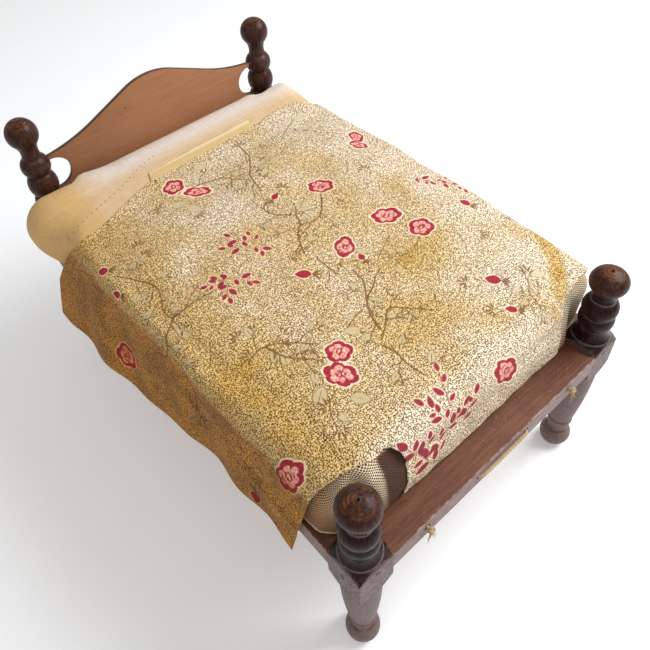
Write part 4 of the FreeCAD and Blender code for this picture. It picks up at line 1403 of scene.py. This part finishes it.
def add_cord(name, route, outward, cad_cord, cad_knots):
    """A rope along the route and a frayed knot at each of its ends."""
    path = spline_through(route, 1.4)
    rope = bundle(name, strands(path, CORD_RADIUS, 8.5), [HEMP])
    say(rope, "bedstead", "cord_hemp", cad_cord)
    tubes = []
    for seed, end in enumerate((route[0], route[-1]), start=70):
        tubes += knot(end, outward, seed)
    knots = bundle(name + "_knots", tubes, [HEMP])
    say(knots, "bedstead", "cord_hemp", cad_knots)


for way, route, outward in (
    ("lengthwise", lengthwise_route(), (0, -1, 0)),
    ("crosswise", crosswise_route(), (1, 0, 0)),
):
    add_cord(f"bed_cord_{way}", route, outward, f"{way}_cord", f"{way}_cord_knots")

# ------------------------------------------------------------------ stitches


def seam(name, obj, outline_points, out, radius, pitch, material):
    """A whipped thread laid on the surface nearest those points."""
    tree = surface_of(obj)
    path = []
    for point in outline_points:
        place, normal, _, _ = tree.find_nearest(Vector(np.array(point) * MM))
        path.append(np.array(place) / MM + np.array(normal) * out)
    path = np.array(path)
    for _ in range(3):
        path = (np.roll(path, 1, 0) + 2 * path + np.roll(path, -1, 0)) / 4
    path = np.vstack([path, path[:2]])
    return bundle(name, strands(path, radius, pitch, 2), [material])


def rounded_rectangle(low, high, corner, height, step):
    """Points round a rectangle with rounded corners, at that height."""
    out = []
    for start, (sx, sy) in enumerate(((1, -1), (1, 1), (-1, 1), (-1, -1))):
        cx = high[0] - corner if sx > 0 else low[0] + corner
        cy = high[1] - corner if sy > 0 else low[1] + corner
        for t in np.linspace(0, math.pi / 2, 10):
            a = -math.pi / 2 + start * math.pi / 2 + t
            out.append((cx + corner * math.cos(a), cy + corner * math.sin(a), height))
    out = np.array(out + out[:1])
    return points_at(out, np.arange(0, travel_along(out)[-1] - step / 2, step))


seam_points = rounded_rectangle(TICK_LOW, TICK_HIGH, TICK_CORNER, SEAM_HEIGHT, 1.5)
tick_seam = seam("mattress_seam", mattress, seam_points, 0.3, 1.0, 3.4, THREAD)
say(tick_seam, "mattress", "tick_homespun")

height = BOLSTER_LOW[2] + 3.0
seam_points = rounded_rectangle(BOLSTER_LOW, BOLSTER_HIGH, CASE_CORNER, height, 1.5)
case_seam = seam("bolster_seam", bolster, seam_points, 0.1, 0.5, 2.6, THREAD)
say(case_seam, "bolster", "bolster_linen")


def stitches(name, obj, route, gap, length, radius, material):
    """Short stitches lying on the top of a piece, following a route."""
    tree = surface_of(obj)
    path = curve_through(route, 0.5)
    travel = travel_along(path)
    tubes = []
    for middle in np.arange(gap, travel[-1] - gap, gap):
        points = []
        for t in np.linspace(-length / 2, length / 2, 5):
            x, y = (np.interp(middle + t, travel, path[:, k]) for k in (0, 1))
            hit = tree.ray_cast(Vector((x * MM, y * MM, 0.3)), Vector((0, 0, -1)))[0]
            if hit is not None:
                rise = radius * (1 - 2.6 * abs(t) / length)
                points.append((x, y, hit.z / MM + rise))
        if len(points) == 5:
            tubes.append(tube(np.array(points), radius, 6))
    return bundle(name, tubes, [material])


STITCH_ROUTE = [(-150, 133), (-130, 131), (-112, 136), (-92, 142), (-70, 150), (-48, 160), (-22, 166)]
thread = {"gap": 5.6, "length": 1.1, "radius": 0.32, "material": BROWN_THREAD}
linen_stitches = stitches("bolster_stitches", bolster, STITCH_ROUTE, **thread)
say(linen_stitches, "bolster", "bolster_linen")

# ---------------------------------------------------------- camera and light

FLOOR_HALF = 3.0
floor = new_mesh(
    "floor",
    np.array([(-1, -1, 0), (1, -1, 0), (1, 1, 0), (-1, 1, 0)]) * FLOOR_HALF / MM,
    [(0, 1, 2, 3)],
    [],
    False,
)
paper = Paint("floor_paper")
grain = paper.noise(paper.place(), 0.02, 3)
tint = paper.mix(grain, (0.90, 0.90, 0.90), (0.94, 0.94, 0.94))
glow = {"Emission_Color": (1, 1, 1, 1), "Emission_Strength": 0.18}
floor.data.materials.append(paper.finish(tint, 0.9, **glow))
floor.location.z = -0.3 * MM  # just under the feet

camera = bpy.data.cameras.new("camera")
camera.sensor_width = 36
camera.lens = 36.53
camera.shift_x, camera.shift_y = 0.0191, -0.0815
camera.clip_start, camera.clip_end = 0.02, 20
viewer = bpy.data.objects.new("camera", camera)
bpy.context.scene.collection.objects.link(viewer)
# the photo's viewpoint, fitted to the posts, rails and board
right = Vector((0.7543, -0.6531, -0.0668))
ahead = Vector((0.4213, 0.5596, -0.7137)).normalized()
up = right.cross(ahead).normalized()
right = ahead.cross(up)
turn = Matrix((right, up, -ahead)).transposed().to_4x4()
viewer.matrix_world = Matrix.Translation((-0.23195, -0.32700, 0.56875)) @ turn
bpy.context.scene.camera = viewer


def add_light(name, place, target, size, power, color):
    light = bpy.data.lights.new(name, "AREA")
    light.shape = "RECTANGLE"
    light.size, light.size_y = size
    light.energy = power
    light.color = color
    holder = bpy.data.objects.new(name, light)
    bpy.context.scene.collection.objects.link(holder)
    holder.location = place
    aim = Vector(target) - Vector(place)
    holder.rotation_euler = aim.to_track_quat("-Z", "Y").to_euler()


add_light("window", (0.85, -0.45, 1.10), (0, 0, 0.15), (0.8, 0.7), 21, (0.92, 0.96, 1.0))
add_light("fill", (-1.1, -1.0, 1.3), (0, 0, 0.1), (1.6, 1.2), 3, (1.0, 0.97, 0.93))
world = bpy.data.worlds.new("studio")
bpy.context.scene.world = world
world.use_nodes = True
world.node_tree.nodes["Background"].inputs["Color"].default_value = (1, 1, 1, 1)
world.node_tree.nodes["Background"].inputs["Strength"].default_value = 0.50
bpy.context.scene.view_settings.view_transform = "Standard"
